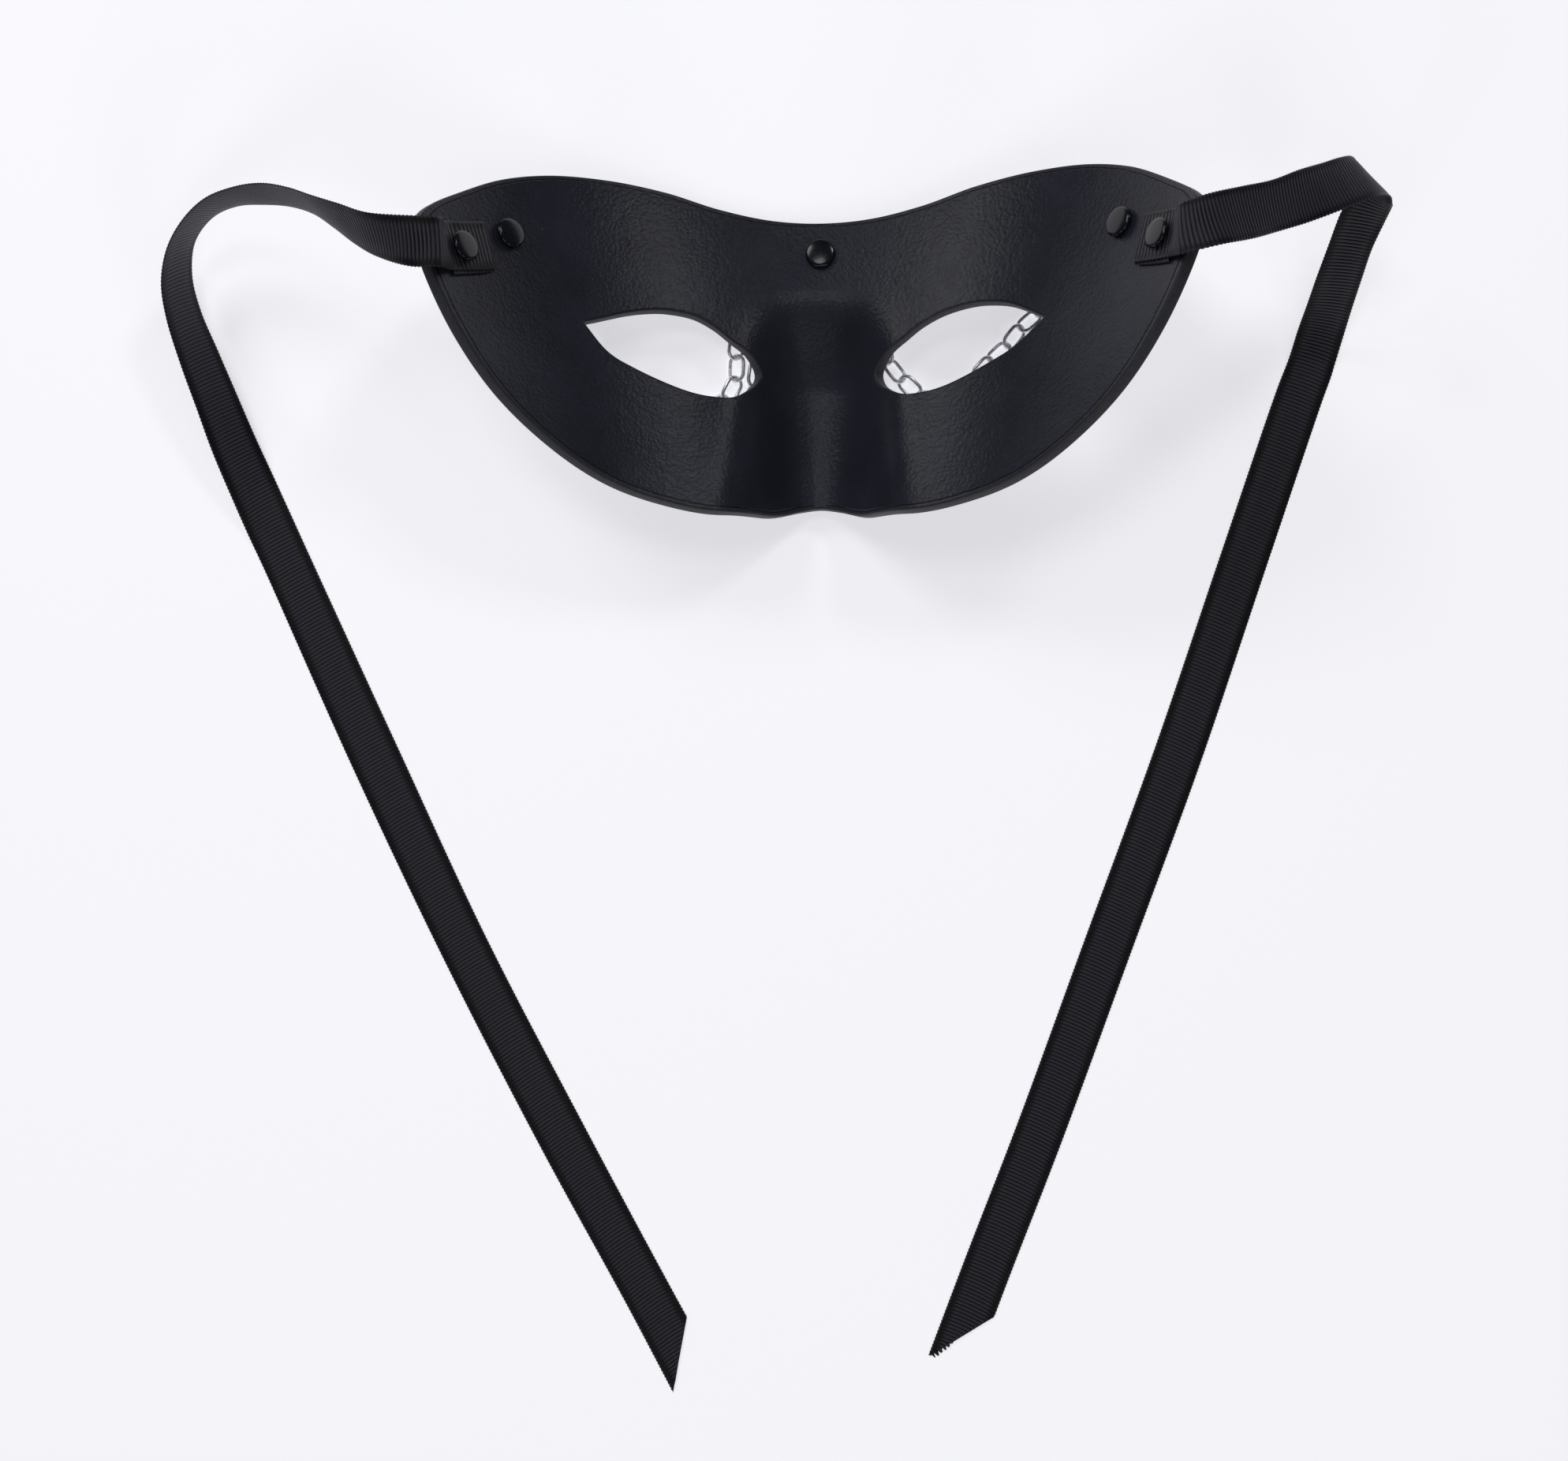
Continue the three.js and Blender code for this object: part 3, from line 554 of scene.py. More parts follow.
class Finish:
    """A procedural material whose nodes are added one after another."""

    def __init__(self, name, colour, roughness, metallic=0.0):
        self.material = bpy.data.materials.new(name)
        self.material.use_nodes = True
        self.tree = self.material.node_tree
        self.shader = next(n for n in self.tree.nodes if n.type == "BSDF_PRINCIPLED")
        self.settle("Base Color", (*colour, 1))
        self.settle("Roughness", roughness)
        self.settle("Metallic", metallic)
        self.place = self.add("ShaderNodeTexCoord").outputs["Object"]

    def settle(self, name, value):
        """Sets one of the shader's sockets."""
        self.shader.inputs[name].default_value = value

    def add(self, kind, **values):
        node = self.tree.nodes.new(kind)
        for name, value in values.items():
            if name in node.inputs:
                node.inputs[name].default_value = value
            else:
                setattr(node, name, value)
        return node

    def link(self, source, target):
        self.tree.links.new(source, target)

    def noise(self, size, detail=3.0, roughness=0.5):
        """A noise whose features have about the given size in metres."""
        node = self.add("ShaderNodeTexNoise", Scale=1 / size, Detail=detail, Roughness=roughness)
        self.link(self.place, node.inputs["Vector"])
        return node.outputs["Fac"]

    def cells(self, size):
        """Distance from the middles of cells of about the given size in metres, as a share of it."""
        node = self.add("ShaderNodeTexVoronoi", Scale=1 / size)
        self.link(self.place, node.inputs["Vector"])
        return node.outputs["Distance"]

    def spread(self, source, low, high, to_low, to_high):
        """Maps a stretch of values evenly onto another and holds its ends."""
        node = self.add("ShaderNodeMapRange")
        names = ("From Min", "From Max", "To Min", "To Max")
        for name, value in zip(names, (low, high, to_low, to_high)):
            node.inputs[name].default_value = value
        self.link(source, node.inputs["Value"])
        return node.outputs["Result"]

    def vary(self, noise, low, high):
        """Maps a noise onto values from low to high."""
        return self.spread(noise, *NOISE_SPAN, low, high)

    def vary_roughness(self, noise, low, high):
        self.link(self.vary(noise, low, high), self.shader.inputs["Roughness"])

    def sums(self, operation, first, second):
        node = self.add("ShaderNodeMath", operation=operation)
        for socket, value in zip(node.inputs, (first, second)):
            if isinstance(value, (int, float)):
                socket.default_value = value
            else:
                self.link(value, socket)
        return node.outputs["Value"]

    def shades(self, factor, dark, light):
        """Varies the base colour between two colours."""
        node = self.add("ShaderNodeMix", data_type="RGBA")
        node.inputs[6].default_value = (*dark, 1)
        node.inputs[7].default_value = (*light, 1)
        self.link(factor, node.inputs[0])
        self.link(node.outputs[2], self.shader.inputs["Base Color"])
        return node

    def shade_over(self, factor, colour):
        """Lays a further colour over the base colour."""
        below = self.shader.inputs["Base Color"].links[0].from_socket
        self.link(below, self.shades(factor, colour, colour).inputs[6])

    def relief(self, height, distance, strength=1.0):
        node = self.add("ShaderNodeBump", Distance=distance, Strength=strength)
        self.link(height, node.inputs["Height"])
        self.link(node.outputs["Normal"], self.shader.inputs["Normal"])


def leather_face(settings):
    """Dyed leather: fine pebbled grain, faint cloudy dye, a dull sheen, and along the outer edge a
    greyer band where the mould pinched it, set off by a ragged crease: a groove in the relief with
    painted shade along it, coloured nearly black."""
    dark = times(0.8, settings.colour)
    light = times(1.35, settings.colour)
    finish = Finish("dyed_leather", settings.colour, 0.55)
    clouds = finish.noise(0.02, 4)
    finish.shades(finish.vary(clouds, 0, 1), dark, light)
    rim = finish.add("ShaderNodeAttribute", attribute_name="rim").outputs["Fac"]
    waver = finish.vary(finish.noise(0.003, 4, 0.7), -RAGGED, RAGGED)
    ragged = finish.sums("ADD", rim, waver)
    band = finish.spread(ragged, *BAND_EDGE, 1, 0)
    from_crease = finish.sums("ABSOLUTE", finish.sums("SUBTRACT", ragged, CREASE_PLACE), 0)
    crease_groove_and_shade = finish.spread(from_crease, *CREASE_WIDTH, 1, 0)
    finish.shade_over(band, times(1.15, settings.edge_colour))
    # Painted shade: the crease is coloured nearly black, as shade in its groove would look; the same
    # mask also cuts the groove into the relief below
    finish.shade_over(crease_groove_and_shade, times(0.15, settings.colour))
    finish.shade_over(finish.spread(finish.cells(SPECK_SPACING), *SPECK_EDGE, 1, 0), SPECK_COLOUR)
    grain = finish.cells(settings.grain)
    pores = finish.noise(settings.grain / 2, 4, 0.65)
    wrinkles = finish.noise(settings.grain * 4, 5, 0.6)
    height = finish.sums("ADD", finish.sums("MULTIPLY", grain, 0.7), finish.sums("MULTIPLY", pores, 0.6))
    height = finish.sums("ADD", height, finish.sums("MULTIPLY", wrinkles, 1.0))
    height = finish.sums("SUBTRACT", height, finish.sums("MULTIPLY", crease_groove_and_shade, 1.5))
    finish.relief(height, 0.00013, 0.65)
    finish.vary_roughness(wrinkles, 0.22, 0.28)
    finish.settle("Specular IOR Level", 0.16)
    return finish.material


def leather_edge(settings):
    """The cut edge: dyed, rubbed smooth and a little greyer, with the hide's layers showing faintly."""
    dark = times(0.6, settings.edge_colour)
    finish = Finish("dyed_leather_edge", settings.edge_colour, 0.6)
    layers = finish.noise(0.0012, 5, 0.7)
    finish.shades(finish.spread(layers, 0.35, 0.65, 0, 1), dark, settings.edge_colour)
    finish.relief(finish.noise(0.0006, 4, 0.7), 0.0001, 0.8)
    return finish.material


def black_lacquer(settings):
    """Baked black lacquer on the rivets, with a faint orange peel."""
    finish = Finish("black_lacquer", settings.colour, 0.2)
    peel = finish.noise(0.0008, 2)
    finish.relief(peel, 0.00001, 0.3)
    finish.vary_roughness(peel, 0.16, 0.22)
    finish.settle("Specular IOR Level", 0.4)
    return finish.material


def grosgrain_weave(settings):
    """Ribbed weave with painted shade: the colour follows the ribs' height, full on their tops and
    nearly black in the valleys between them and in the selvedge's groove; fine threads run over each
    rib."""
    finish = Finish("grosgrain", settings.colour, 0.4)
    rib = finish.add("ShaderNodeAttribute", attribute_name="rib").outputs["Fac"]
    across = finish.add("ShaderNodeAttribute", attribute_name="across").outputs["Fac"]
    threads = finish.add("ShaderNodeMath", operation="SINE")
    finish.link(finish.sums("MULTIPLY", across, THREADS_ACROSS * math.pi), threads.inputs[0])
    weave = finish.sums("MULTIPLY", finish.sums("ADD", threads.outputs["Value"], 1), 0.5)
    fluff = finish.noise(0.0004, 4, 0.7)
    fuzz = finish.vary(fluff, 0.75, 1.1)
    # Painted shade: the colour falls with the ribs' height to nearly black (dark) in the valleys and the
    # selvedge's groove; the fuzz varies it at random
    rib_shade_and_fuzz = finish.sums("MULTIPLY", finish.spread(rib, 0.42, 0.98, 0, 1), fuzz)
    dark = times(0.05, settings.colour)
    finish.shades(rib_shade_and_fuzz, dark, settings.colour)
    finish.relief(finish.sums("ADD", finish.sums("MULTIPLY", weave, 0.5), fluff), 0.00005, 0.6)
    finish.settle("Specular IOR Level", 0.22)
    finish.settle("Sheen Weight", 0.03)
    finish.settle("Sheen Roughness", 0.5)
    return finish.material


def silver_plate(settings):
    """Bright silver plating with the faint waviness of drawn wire."""
    finish = Finish("silver_plate", settings.colour, 0.3, 0.6)
    waves = finish.noise(0.001, 3)
    finish.relief(waves, 0.00003, 0.5)
    finish.vary_roughness(waves, 0.18, 0.4)
    return finish.material


def table_top(settings):
    """A white light table: matt, and lit a little from underneath."""
    finish = Finish("pale_table", settings.colour, 0.7)
    finish.settle("Specular IOR Level", 0.2)
    finish.settle("Emission Color", (*settings.colour, 1))
    finish.settle("Emission Strength", settings.underlight)
    return finish.material


class EYEMASK_OT_stage(bpy.types.Operator):
    """Add the camera over the table, the pale table and the soft light"""
    bl_idname = "eyemask.stage"
    bl_label = "Camera, table and light"

    def execute(self, context):
        settings = context.scene.eye_mask_stage
        bpy.ops.object.camera_add(location=CAMERA_PLACE, rotation=(0, 0, 0))
        camera = context.active_object
        camera.data.lens = CAMERA_LENS
        camera.data.sensor_width = CAMERA_FILM
        camera.data.clip_start = 0.01
        context.scene.camera = camera
        bpy.ops.mesh.primitive_plane_add(size=TABLE_SIZE, location=(0, 0, 0))
        table = context.active_object
        table.name = "table"
        table.data.materials.append(table_top(settings))
        for name, toward, size, share in SOFT_BOXES:
            place = Vector(toward).normalized() * BOX_DISTANCE
            facing = place.to_track_quat("Z", "Y").to_euler()
            bpy.ops.object.light_add(type="AREA", location=place, rotation=facing)
            light = context.active_object
            light.name = f"soft_box_{name}"
            light.data.size = size
            light.data.energy = settings.key_light * share
        world = bpy.data.worlds.new("soft_light")
        world.use_nodes = True
        backdrop = world.node_tree.nodes["Background"]
        backdrop.inputs["Color"].default_value = (*ROOM_LIGHT, 1)
        backdrop.inputs["Strength"].default_value = settings.soft_light
        context.scene.world = world
        context.scene.view_settings.view_transform = "Standard"
        return {"FINISHED"}


def end_places(side, shares):
    """Plan places of the upper and the lower edge of a riveted end, from its fold outwards."""
    end = np.array(ENDS[side])
    return np.stack([spline(end[:, 0], shares), spline(end[:, 1], shares)], axis=1)


def end_layer(side, shares, slip, heights):
    """Edge points of one layer of a riveted end, slipped out at its lower side, as it lies."""
    places = end_places(side, shares)
    outwards = unit(places[:, 1] - places[:, 0])
    heights = np.broadcast_to(heights, len(places))
    slipped = places + (outwards * np.broadcast_to(slip, len(places))[:, None])[:, None]
    return as_it_lies(on_sheet(slipped, np.stack([heights, heights], axis=1)))


def ribbon_line(side):
    """Closely spaced edge points of a ribbon in millimetres, and how many of them belong to the flap
    and the fold, which come before the layer over them and the free length."""
    radius = (OVER_HEIGHT - FLAP_HEIGHT) / 2
    reach = radius / running_length(np.mean(ENDS[side], axis=1))[-1]
    shares = np.linspace(1, reach, FLAP_STEPS)
    flap = end_layer(side, shares, np.interp(shares, (0, 1), FLAP_SLIP), FLAP_HEIGHT)
    turn = np.linspace(-np.pi / 2, np.pi / 2, FOLD_STEPS + 2)[1:-1]
    slip = FLAP_SLIP[0] * (1 - np.sin(turn)) / 2
    heights = FLAP_HEIGHT + radius * (1 + np.sin(turn))
    fold = end_layer(side, reach * (1 - np.cos(turn)), slip, heights)
    over = end_layer(side, (reach, *OVER_SHARES), 0, OVER_HEIGHT)
    stations = np.concatenate([over, np.array(FREE[side])])
    dense = np.linspace(0, 1, LINE_STEPS)
    free = np.stack([spline(stations[:, 0], dense), spline(stations[:, 1], dense)], axis=1)
    line = np.concatenate([flap, fold, free])
    line[..., 2] = np.maximum(line[..., 2], RIBBON_REST)
    return line, len(flap) + len(fold)


def ribbon_frames(line, lengths):
    """Middle points, half widths as vectors and up vectors of a ribbon at the given lengths."""
    middle = line.mean(axis=1)
    run = running_length(middle)
    along = unit(np.gradient(middle, run, axis=0))
    half = (line[:, 0] - line[:, 1]) / 2
    place, along, half = (each_axis(lengths, run, values) for values in (middle, along, half))
    return place, half, unit(np.cross(along, half))


def rib_profile(rows, across):
    """Height from 0 to 1 of the ribs at each row and place across. Past a groove, the selvedge's
    threads follow the ribs a little out of step."""
    row = rows % len(RIB_ROWS)
    body = np.array(RIB_HEIGHTS)[row]
    past = np.abs(across) - SELVEDGE
    edge = np.clip(past / (1 - SELVEDGE), 0, 1)
    twisted = 0.5 + 0.5 * np.cos(2 * np.pi * (np.array(RIB_ROWS)[row] + TWIST * np.sign(across)))
    dip = np.exp(-((past / SELVEDGE_DIP_WIDTH) ** 2))
    return (body * (1 - edge) + TWIST_HEIGHT * (1 + twisted) * edge) * (1 - SELVEDGE_DIP * dip)


def rib_starts(total, fold, pitch):
    """Where along a ribbon each rib starts; near the riveted end they lie wider."""
    even = np.arange(int(total / pitch) + 1) * pitch
    eased = pitch * (1 + END_EASE * np.clip(1 - (even - fold - END_RUN) / END_RUN, 0, 1))
    starts = np.concatenate([[0], np.cumsum(eased)])
    return starts[starts < total]


def make_ribbon(side, settings, material):
    """Makes one ribbon rib by rib along its line and cuts its end."""
    line, before = ribbon_line(side)
    total = running_length(line.mean(axis=1))[-1]
    fold = running_length(line[:before].mean(axis=1))[-1]
    starts = rib_starts(total, fold, settings.rib_pitch / MM)
    rows = np.arange((len(starts) - 1) * len(RIB_ROWS) + 1)
    phases = np.array(RIB_ROWS)[rows % len(RIB_ROWS)]
    lengths = np.interp(rows // len(RIB_ROWS) + phases, np.arange(len(starts)), starts)
    middle = ribbon_frames(line, lengths)[0]
    around = np.array([-1.0, *TOP_ACROSS, 1.0, *UNDER_ACROSS, -1.0])
    face = np.array([0] + [1] * len(TOP_ACROSS) + [0] + [-1] * len(UNDER_ACROSS) + [0])
    obj, column, row = grid_sheet(f"grosgrain_{side}", len(around) - 1, len(rows) - 1)
    across = around[column]
    rib = rib_profile(rows[row], across)
    half = (settings.valley + (settings.ridge - settings.valley) * rib) / MM
    half *= np.where(np.abs(across) > THIN_FROM, THIN_EDGE, 1)
    bulge = BULGE * np.cos(2 * np.pi * phases[row]) * (np.abs(across) > BULGE_FROM) * across
    place, layers = RIVETS[f"rivet_ribbon_{side}"]
    exit_point = as_it_lies(on_sheet(place, layers))
    loose = lengths > fold
    pinned = np.argmin(np.where(loose, np.linalg.norm(middle - exit_point, axis=1), np.inf))
    beside = lengths[row] - lengths[pinned]
    from_cap = np.hypot(beside, settings.width / MM / 2 * across)
    spread = RIB_SPREAD * np.tanh(beside / 2) * np.exp(-((from_cap / SPREAD_REACH) ** 2))
    faded = np.clip((lengths[row] - fold) / LEAN_RUN, 0, 1)
    shift = faded * (RIB_LEAN[side] * across + RIB_BOW * (1 - across**2)) + loose[row] * spread
    places, sideways, up = ribbon_frames(line, np.clip(lengths[row] + shift, 0, total))
    points = places + sideways * (across + bulge)[:, None] + up * (half * face[column])[:, None]
    move_points(obj, points * MM)
    for name, values in (("rib", rib), ("across", across)):
        obj.data.attributes.new(name, "FLOAT", "POINT").data.foreach_set("value", values)
    obj.data.materials.append(material)
    weld(obj)
    cut_ribbon(obj, side)
    smooth(obj, 60)
    finish_piece(obj, f"ribbon_{side}")


def bias_plane(side):
    """A point of the slanting cut at a ribbon's end, in millimetres, and the direction it faces."""
    tip, lower = (np.array(point, float) for point in FREE[side][-1])
    across = unit(lower - tip)
    cut = np.array((across[0] * math.cos(BIAS) - across[1] * math.sin(BIAS),
                    across[0] * math.sin(BIAS) + across[1] * math.cos(BIAS), 0))
    facing = np.array((cut[1], -cut[0], 0))
    if facing[1] > 0:
        facing = -facing
    return tip, facing


def fray_tip(obj, side):
    """Draws the ribs' threads a little out of the slanting cut near its tip."""
    tip, facing = bias_plane(side)
    ribs = np.empty(len(obj.data.vertices))
    obj.data.attributes["rib"].data.foreach_get("value", ribs)
    offset = read_points(obj) / MM - tip
    fade = np.clip(1 - np.linalg.norm(offset, axis=1) / FRAY_RUN, 0, 1) ** 0.5
    drawn = FRAY[side] * fade * (ribs > 0.5) * (np.abs(offset @ facing) < ON_CUT)
    move_points(obj, (offset + tip + drawn[:, None] * facing) * MM)


def cut_ribbon(obj, side):
    """Cuts the free end on the bias, closes both ends and frays the cut."""
    point, facing = bias_plane(side)
    select_only(obj)
    bpy.ops.object.mode_set(mode="EDIT")
    bpy.ops.mesh.select_all(action="SELECT")
    bpy.ops.mesh.bisect(
        plane_co=tuple(point * MM), plane_no=tuple(facing), use_fill=True, clear_outer=True)
    bpy.ops.mesh.select_all(action="DESELECT")
    bpy.ops.mesh.select_non_manifold()
    bpy.ops.mesh.fill()
    bpy.ops.object.mode_set(mode="OBJECT")
    fray_tip(obj, side)


class EYEMASK_OT_ribbons(bpy.types.Operator):
    """Add the two grosgrain ribbons, folded under their rivets and cut on the bias"""
    bl_idname = "eyemask.ribbons"
    bl_label = "Grosgrain ribbons"

    def execute(self, context):
        settings = context.scene.eye_mask_ribbon
        material = grosgrain_weave(settings)
        for side in SIDES:
            make_ribbon(side, settings, material)
        return {"FINISHED"}


def half_border():
    """Points of one half's border: down the rim from brow to notch, then back up the middle line."""
    outline = np.array(OUTLINE, float)
    mirrored = outline[1:-1][::-1] * (-1, 1)
    dense = spline(np.vstack([outline, mirrored]), np.linspace(0, 1, OUTLINE_STEPS + 1), closed=True)
    run = running_length(dense)
    rim = each_axis(np.linspace(0, run[-1] / 2, RIM_STEPS + 1), run, dense)
    rise = np.linspace(0, 1, MIDDLE_STEPS + 1)[1:, None]
    middle = rim[-1] + (rim[0] - rim[-1]) * rise
    border = np.vstack([rim, middle])
    border[0, 0] = 0
    border[RIM_STEPS:, 0] = 0
    return border


def eye_edge(border, eye):
    """Where the rays from the eye's centre towards the border points cross the eye hole's edge."""
    edge = spline((*eye, eye[0]), np.linspace(0, 1, EYE_STEPS + 1))
    centre = np.array(EYE_CENTRE, float)
    start, side = edge[:-1] - centre, np.diff(edge, axis=0)
    found = np.empty_like(border)
    for i, ray in enumerate(border - centre):
        cross = ray[0] * side[:, 1] - ray[1] * side[:, 0]
        along = (start[:, 0] * side[:, 1] - start[:, 1] * side[:, 0]) / cross
        over = (start[:, 0] * ray[1] - start[:, 1] * ray[0]) / cross
        hit = np.flatnonzero((along > 0) & (over >= 0) & (over <= 1))
        found[i] = centre + ray * along[hit[0]]
    return found


def half_sheet(side):
    """One half of the inner face: rings of points that run from the eye hole's edge to the border."""
    border = half_border()
    inner = eye_edge(border, EYES[side])
    reach = np.linalg.norm(border - inner, axis=1)
    close = np.array(EDGE_ROWS)
    shares = np.empty((len(border), 2 * len(close) + BETWEEN_ROWS))
    for i, length in enumerate(reach):
        between = np.linspace(close[-1] / length, 1 - close[-1] / length, BETWEEN_ROWS + 2)[1:-1]
        shares[i] = np.concatenate([close / length, between, 1 - close[::-1] / length])
    obj, column, row = grid_sheet(f"half_{side}", len(border) - 1, shares.shape[1] - 1)
    places = inner[column] + (border[column] - inner[column]) * shares[column, row][:, None]
    places[:, 0] *= SIDES[side]
    move_points(obj, on_sheet(places) * MM)
    from_rim = np.where(column < RIM_STEPS, (1 - shares[column, row]) * reach[column], FAR_FROM_RIM)
    obj.data.attributes.new("rim", "FLOAT", "POINT").data.foreach_set("value", from_rim)
    weld(obj, SEAM)
    return obj


class EYEMASK_OT_leather(bpy.types.Operator):
    """Add the moulded sheet of leather with its eye holes and rounded edges"""
    bl_idname = "eyemask.leather"
    bl_label = "Moulded leather"

    def execute(self, context):
        settings = context.scene.eye_mask_leather
        halves = [half_sheet(side) for side in SIDES]
        obj = join_all(halves, "moulded_leather")
        obj.data.materials.append(leather_face(settings))
        obj.data.materials.append(leather_edge(settings))
        weld(obj, SEAM)
        if obj.data.polygons[0].normal.z < 0:
            obj.data.flip_normals()
        wall = obj.modifiers.new("thickness", "SOLIDIFY")
        wall.thickness = settings.thickness
        wall.offset = -1
        wall.material_offset_rim = 1
        rounding = obj.modifiers.new("rounded edges", "BEVEL")
        rounding.width = settings.edge_round
        rounding.segments = 3
        rounding.limit_method = "ANGLE"
        rounding.angle_limit = math.radians(55)
        rounding.use_clamp_overlap = False
        apply_modifiers(obj)
        lay_down(obj)
        smooth(obj, 40)
        finish_piece(obj, "mask_shell")
        return {"FINISHED"}


def rivet_profile(settings, layers):
    """Radius and height in millimetres from the top of the back cap to the bottom of the front cap.
    A rivet that holds no ribbon leaves room for the chain under its front cap."""
    radius, post = settings.cap_radius / MM, settings.post_radius / MM
    back, front = layers + SEAM_GAP, -LEATHER - (SEAM_GAP if layers else PIN_GAP)
    over = [(r * radius, back + h * settings.cap_height / MM) for r, h in CAP_PROFILE]
    under = [(r * radius, front - h * settings.front_height / MM) for r, h in reversed(CAP_PROFILE)]
    return np.array([*over, (post, back), (post, back), (post, front), (post, front), *under])


class EYEMASK_OT_rivets(bpy.types.Operator):
    """Add the domed rivets through the leather and the ribbons"""
    bl_idname = "eyemask.rivets"
    bl_label = "Rivets"

    def execute(self, context):
        settings = context.scene.eye_mask_rivet
        material = black_lacquer(settings)
        for name, (place, layers) in RIVETS.items():
            profile = rivet_profile(settings, layers)
            rings = len(profile) - 1
            bpy.ops.mesh.primitive_uv_sphere_add(segments=RIVET_SEGMENTS, ring_count=rings, radius=1)
            obj = context.active_object
            obj.name = obj.data.name = name.replace("rivet", "domed_rivet")
            ball = read_points(obj)
            ring = np.rint(np.arccos(np.clip(ball[:, 2], -1, 1)) / math.pi * rings).astype(int)
            turn = np.arctan2(ball[:, 1], ball[:, 0])
            radius, height = profile[ring].T
            points = np.stack([radius * np.cos(turn), radius * np.sin(turn), height], axis=1)
            move_points(obj, points * MM)
            foot = on_sheet(place)
            normal = Vector(sheet_normal(*place))
            stand = Vector((0, 0, 1)).rotation_difference(normal).to_matrix().to_4x4()
            obj.data.transform(Matrix.Translation(Vector(foot) * MM) @ stand)
            lay_down(obj)
            obj.data.materials.append(material)
            smooth(obj, 50)
            finish_piece(obj, name)
        return {"FINISHED"}


def pinned_end(place, heading):
    """A pinned link: the sheet's normal, the link's direction and its middle in millimetres."""
    normal = np.array(MASK_TURN @ Vector(sheet_normal(*place)))
    away = unit(heading - heading @ normal * normal)
    post = as_it_lies(on_sheet(place, -LEATHER - PIN_GAP / 2))
    return normal, away, post + away * PIN_REACH


def chain_places(swag, pitch):
    """Middle, direction and facing of every link of a chain, in millimetres."""
    angle = math.radians(swag["heading"])
    heading = np.array((math.cos(angle), math.sin(angle), 0))
    start_normal, start_away, start = pinned_end(RIVETS["rivet_forehead"][0], heading)
    temple = RIVETS[f"rivet_temple_{swag['side']}"][0]
    normal, downhill, _ = pinned_end(temple, np.array((0, 0, -1.0)))
    hang = Quaternion(Vector(normal), math.radians(swag["hang"]))
    end_normal, end_away, end = pinned_end(temple, np.array(hang @ Vector(downhill)))
    start_tip, end_tip = start + start_away * pitch / 2, end + end_away * pitch / 2
    line = spline([start, start_tip, *swag["route"], end_tip, end], np.linspace(0, 1, LINE_STEPS))
    run = running_length(line)
    last = round(run[-1] / pitch)
    wanted = np.linspace(0, run[-1], last + 1)
    middles = each_axis(wanted, run, line)
    ways = unit(each_axis(wanted, run, np.gradient(line, axis=0)))
    places = [(start, start_away, start_normal)]
    for i in range(1, last):
        share = min(max((i * pitch - TIGHT_RUN / 2) / (TIGHT_RUN / 2), 0), 1)
        turn = (-1) ** i * (TIGHT_TURN + (LINK_TURN - TIGHT_TURN) * share * share * (3 - 2 * share))
        blend = max(0, 1 - (last - i) / PIN_BLEND)
        facing = (1 - blend) * np.array((0, 0, 1.0)) + blend * end_normal
        facing = unit(facing - facing @ ways[i] * ways[i])
        facing = np.array(Quaternion(Vector(ways[i]), turn) @ Vector(facing))
        places.append((middles[i], ways[i], facing))
    places.append((end, end_away, end_normal))
    return places


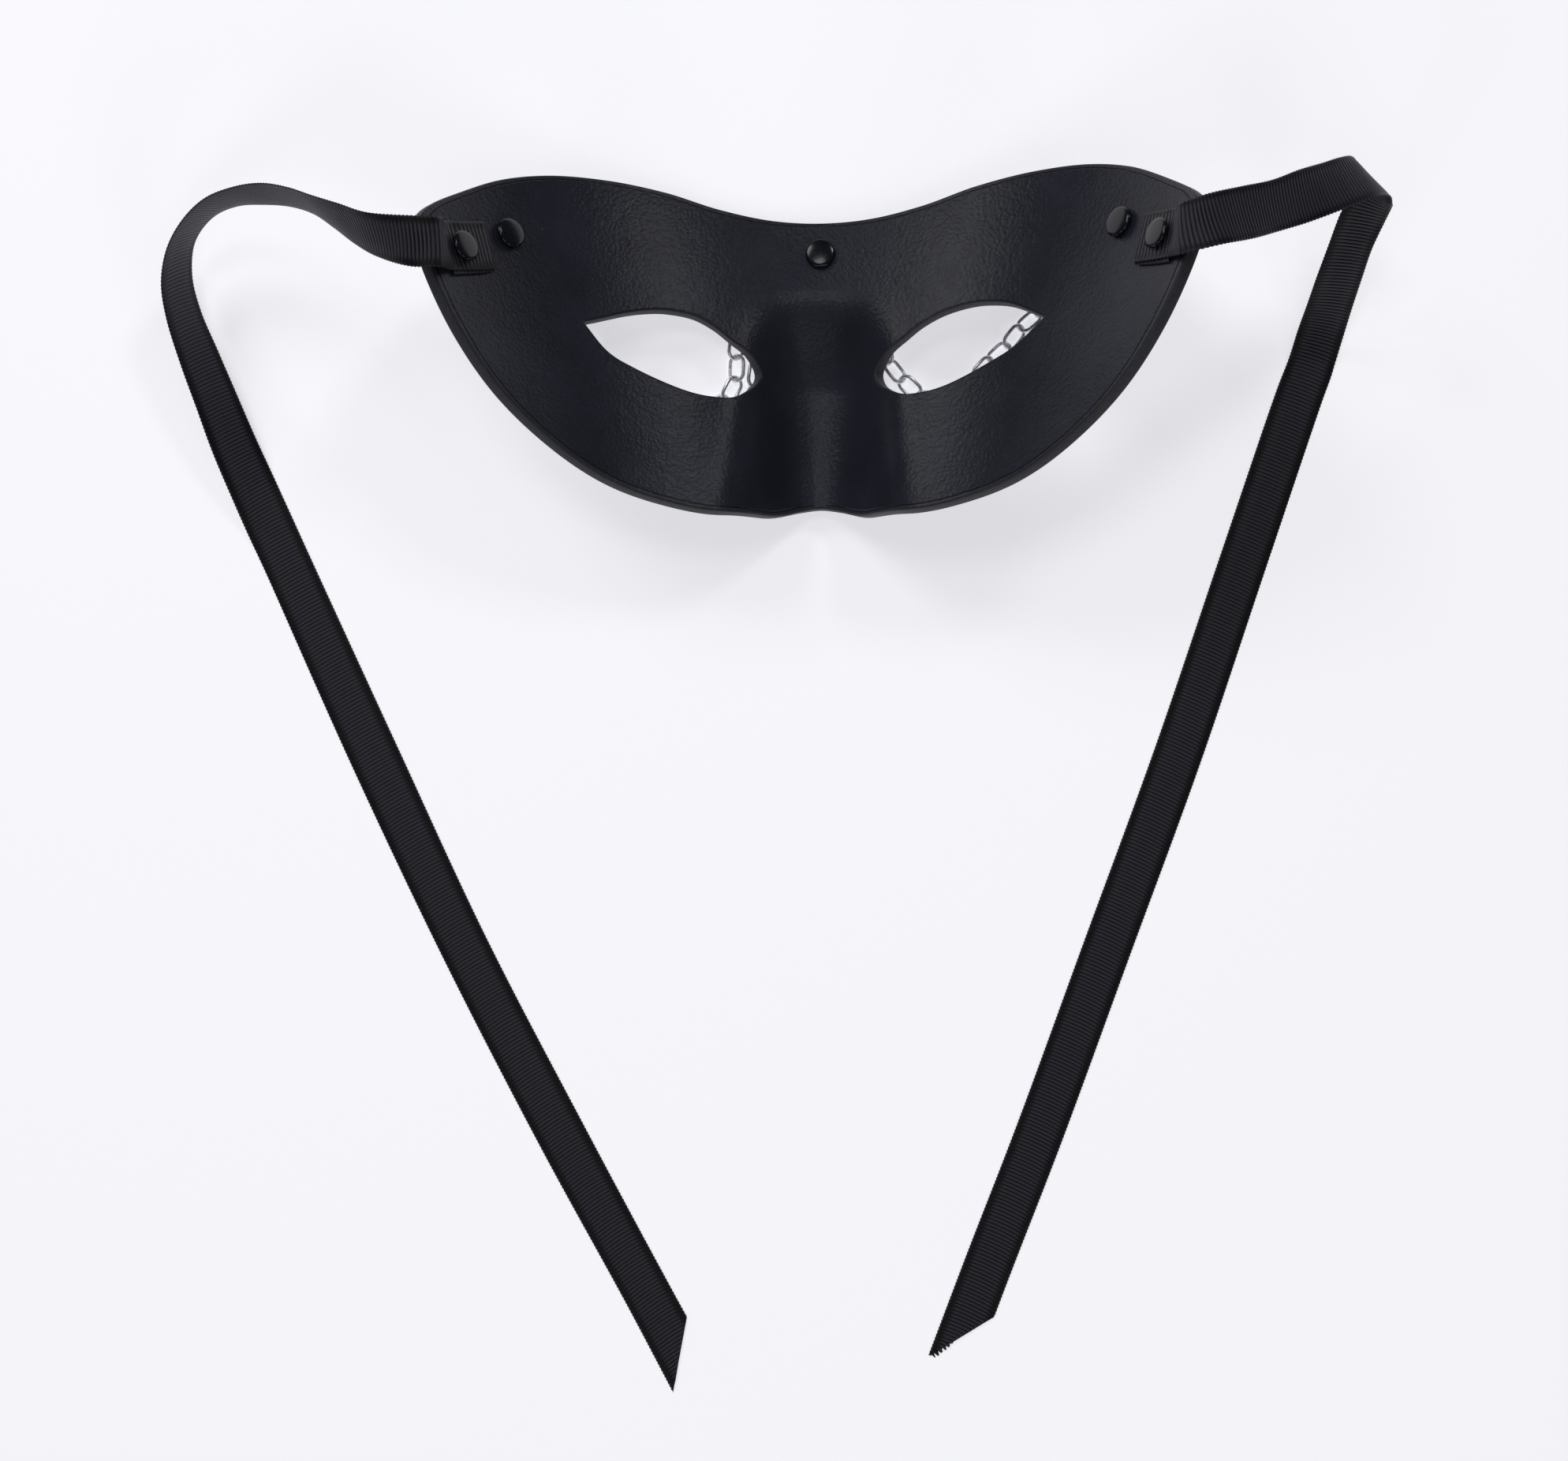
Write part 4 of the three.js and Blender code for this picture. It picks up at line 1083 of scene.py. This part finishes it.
class EYEMASK_OT_chains(bpy.types.Operator):
    """Add the swags of oval chain, link by link, over the mask's front"""
    bl_idname = "eyemask.chains"
    bl_label = "Chain swags"

    def execute(self, context):
        settings = context.scene.eye_mask_chain
        material = silver_plate(settings)
        bpy.ops.mesh.primitive_torus_add(
            major_segments=LINK_SEGMENTS, minor_segments=WIRE_SEGMENTS,
            major_radius=(settings.link_width - settings.wire) / 2, minor_radius=settings.wire / 2)
        link = context.active_object
        link.data.materials.append(material)
        straight = (settings.link_length - settings.link_width) / 2
        for point in link.data.vertices:
            if abs(point.co.y) > ON_AXIS:
                point.co.y += math.copysign(straight, point.co.y)
        for name, swag in CHAINS.items():
            parts = []
            for middle, way, facing in chain_places(swag, settings.pitch / MM):
                side = np.cross(way, facing)
                turn = Matrix((side, way, facing)).transposed().to_4x4()
                part = link.copy()
                part.data = link.data.copy()
                part.data.transform(Matrix.Translation(Vector(middle) * MM) @ turn)
                context.collection.objects.link(part)
                parts.append(part)
            obj = join_all(parts, f"oval_chain_{name}")
            smooth(obj, 60)
            finish_piece(obj, f"chain_{name}")
        bpy.data.objects.remove(link, do_unlink=True)
        return {"FINISHED"}


class EYEMASK_PT_panel(bpy.types.Panel):
    """Steps of the eye mask, in the order in which they are made"""
    bl_idname = "EYEMASK_PT_panel"
    bl_label = "Eye mask"
    bl_space_type = "VIEW_3D"
    bl_region_type = "UI"
    bl_category = "Eye mask"

    def draw(self, context):
        for operator in OPERATORS:
            self.layout.operator(operator.bl_idname)
        for name, kind in SETTINGS.items():
            box = self.layout.box()
            for value in kind.__annotations__:
                box.prop(getattr(context.scene, name), value)


SETTINGS = {
    "eye_mask_leather": LeatherSettings,
    "eye_mask_ribbon": RibbonSettings,
    "eye_mask_rivet": RivetSettings,
    "eye_mask_chain": ChainSettings,
    "eye_mask_stage": StageSettings,
}
OPERATORS = (
    EYEMASK_OT_stage, EYEMASK_OT_ribbons, EYEMASK_OT_leather, EYEMASK_OT_rivets, EYEMASK_OT_chains,
)


def register():
    for name, kind in SETTINGS.items():
        bpy.utils.register_class(kind)
        setattr(bpy.types.Scene, name, bpy.props.PointerProperty(type=kind))
    for kind in (*OPERATORS, EYEMASK_PT_panel):
        bpy.utils.register_class(kind)


def unregister():
    for kind in (EYEMASK_PT_panel, *reversed(OPERATORS)):
        bpy.utils.unregister_class(kind)
    for name, kind in reversed(SETTINGS.items()):
        delattr(bpy.types.Scene, name)
        bpy.utils.unregister_class(kind)


def main():
    register()
    bpy.ops.eyemask.stage()
    bpy.ops.eyemask.ribbons()
    bpy.ops.eyemask.leather()
    bpy.ops.eyemask.rivets()
    bpy.ops.eyemask.chains()


if __name__ == "__main__":
    main()
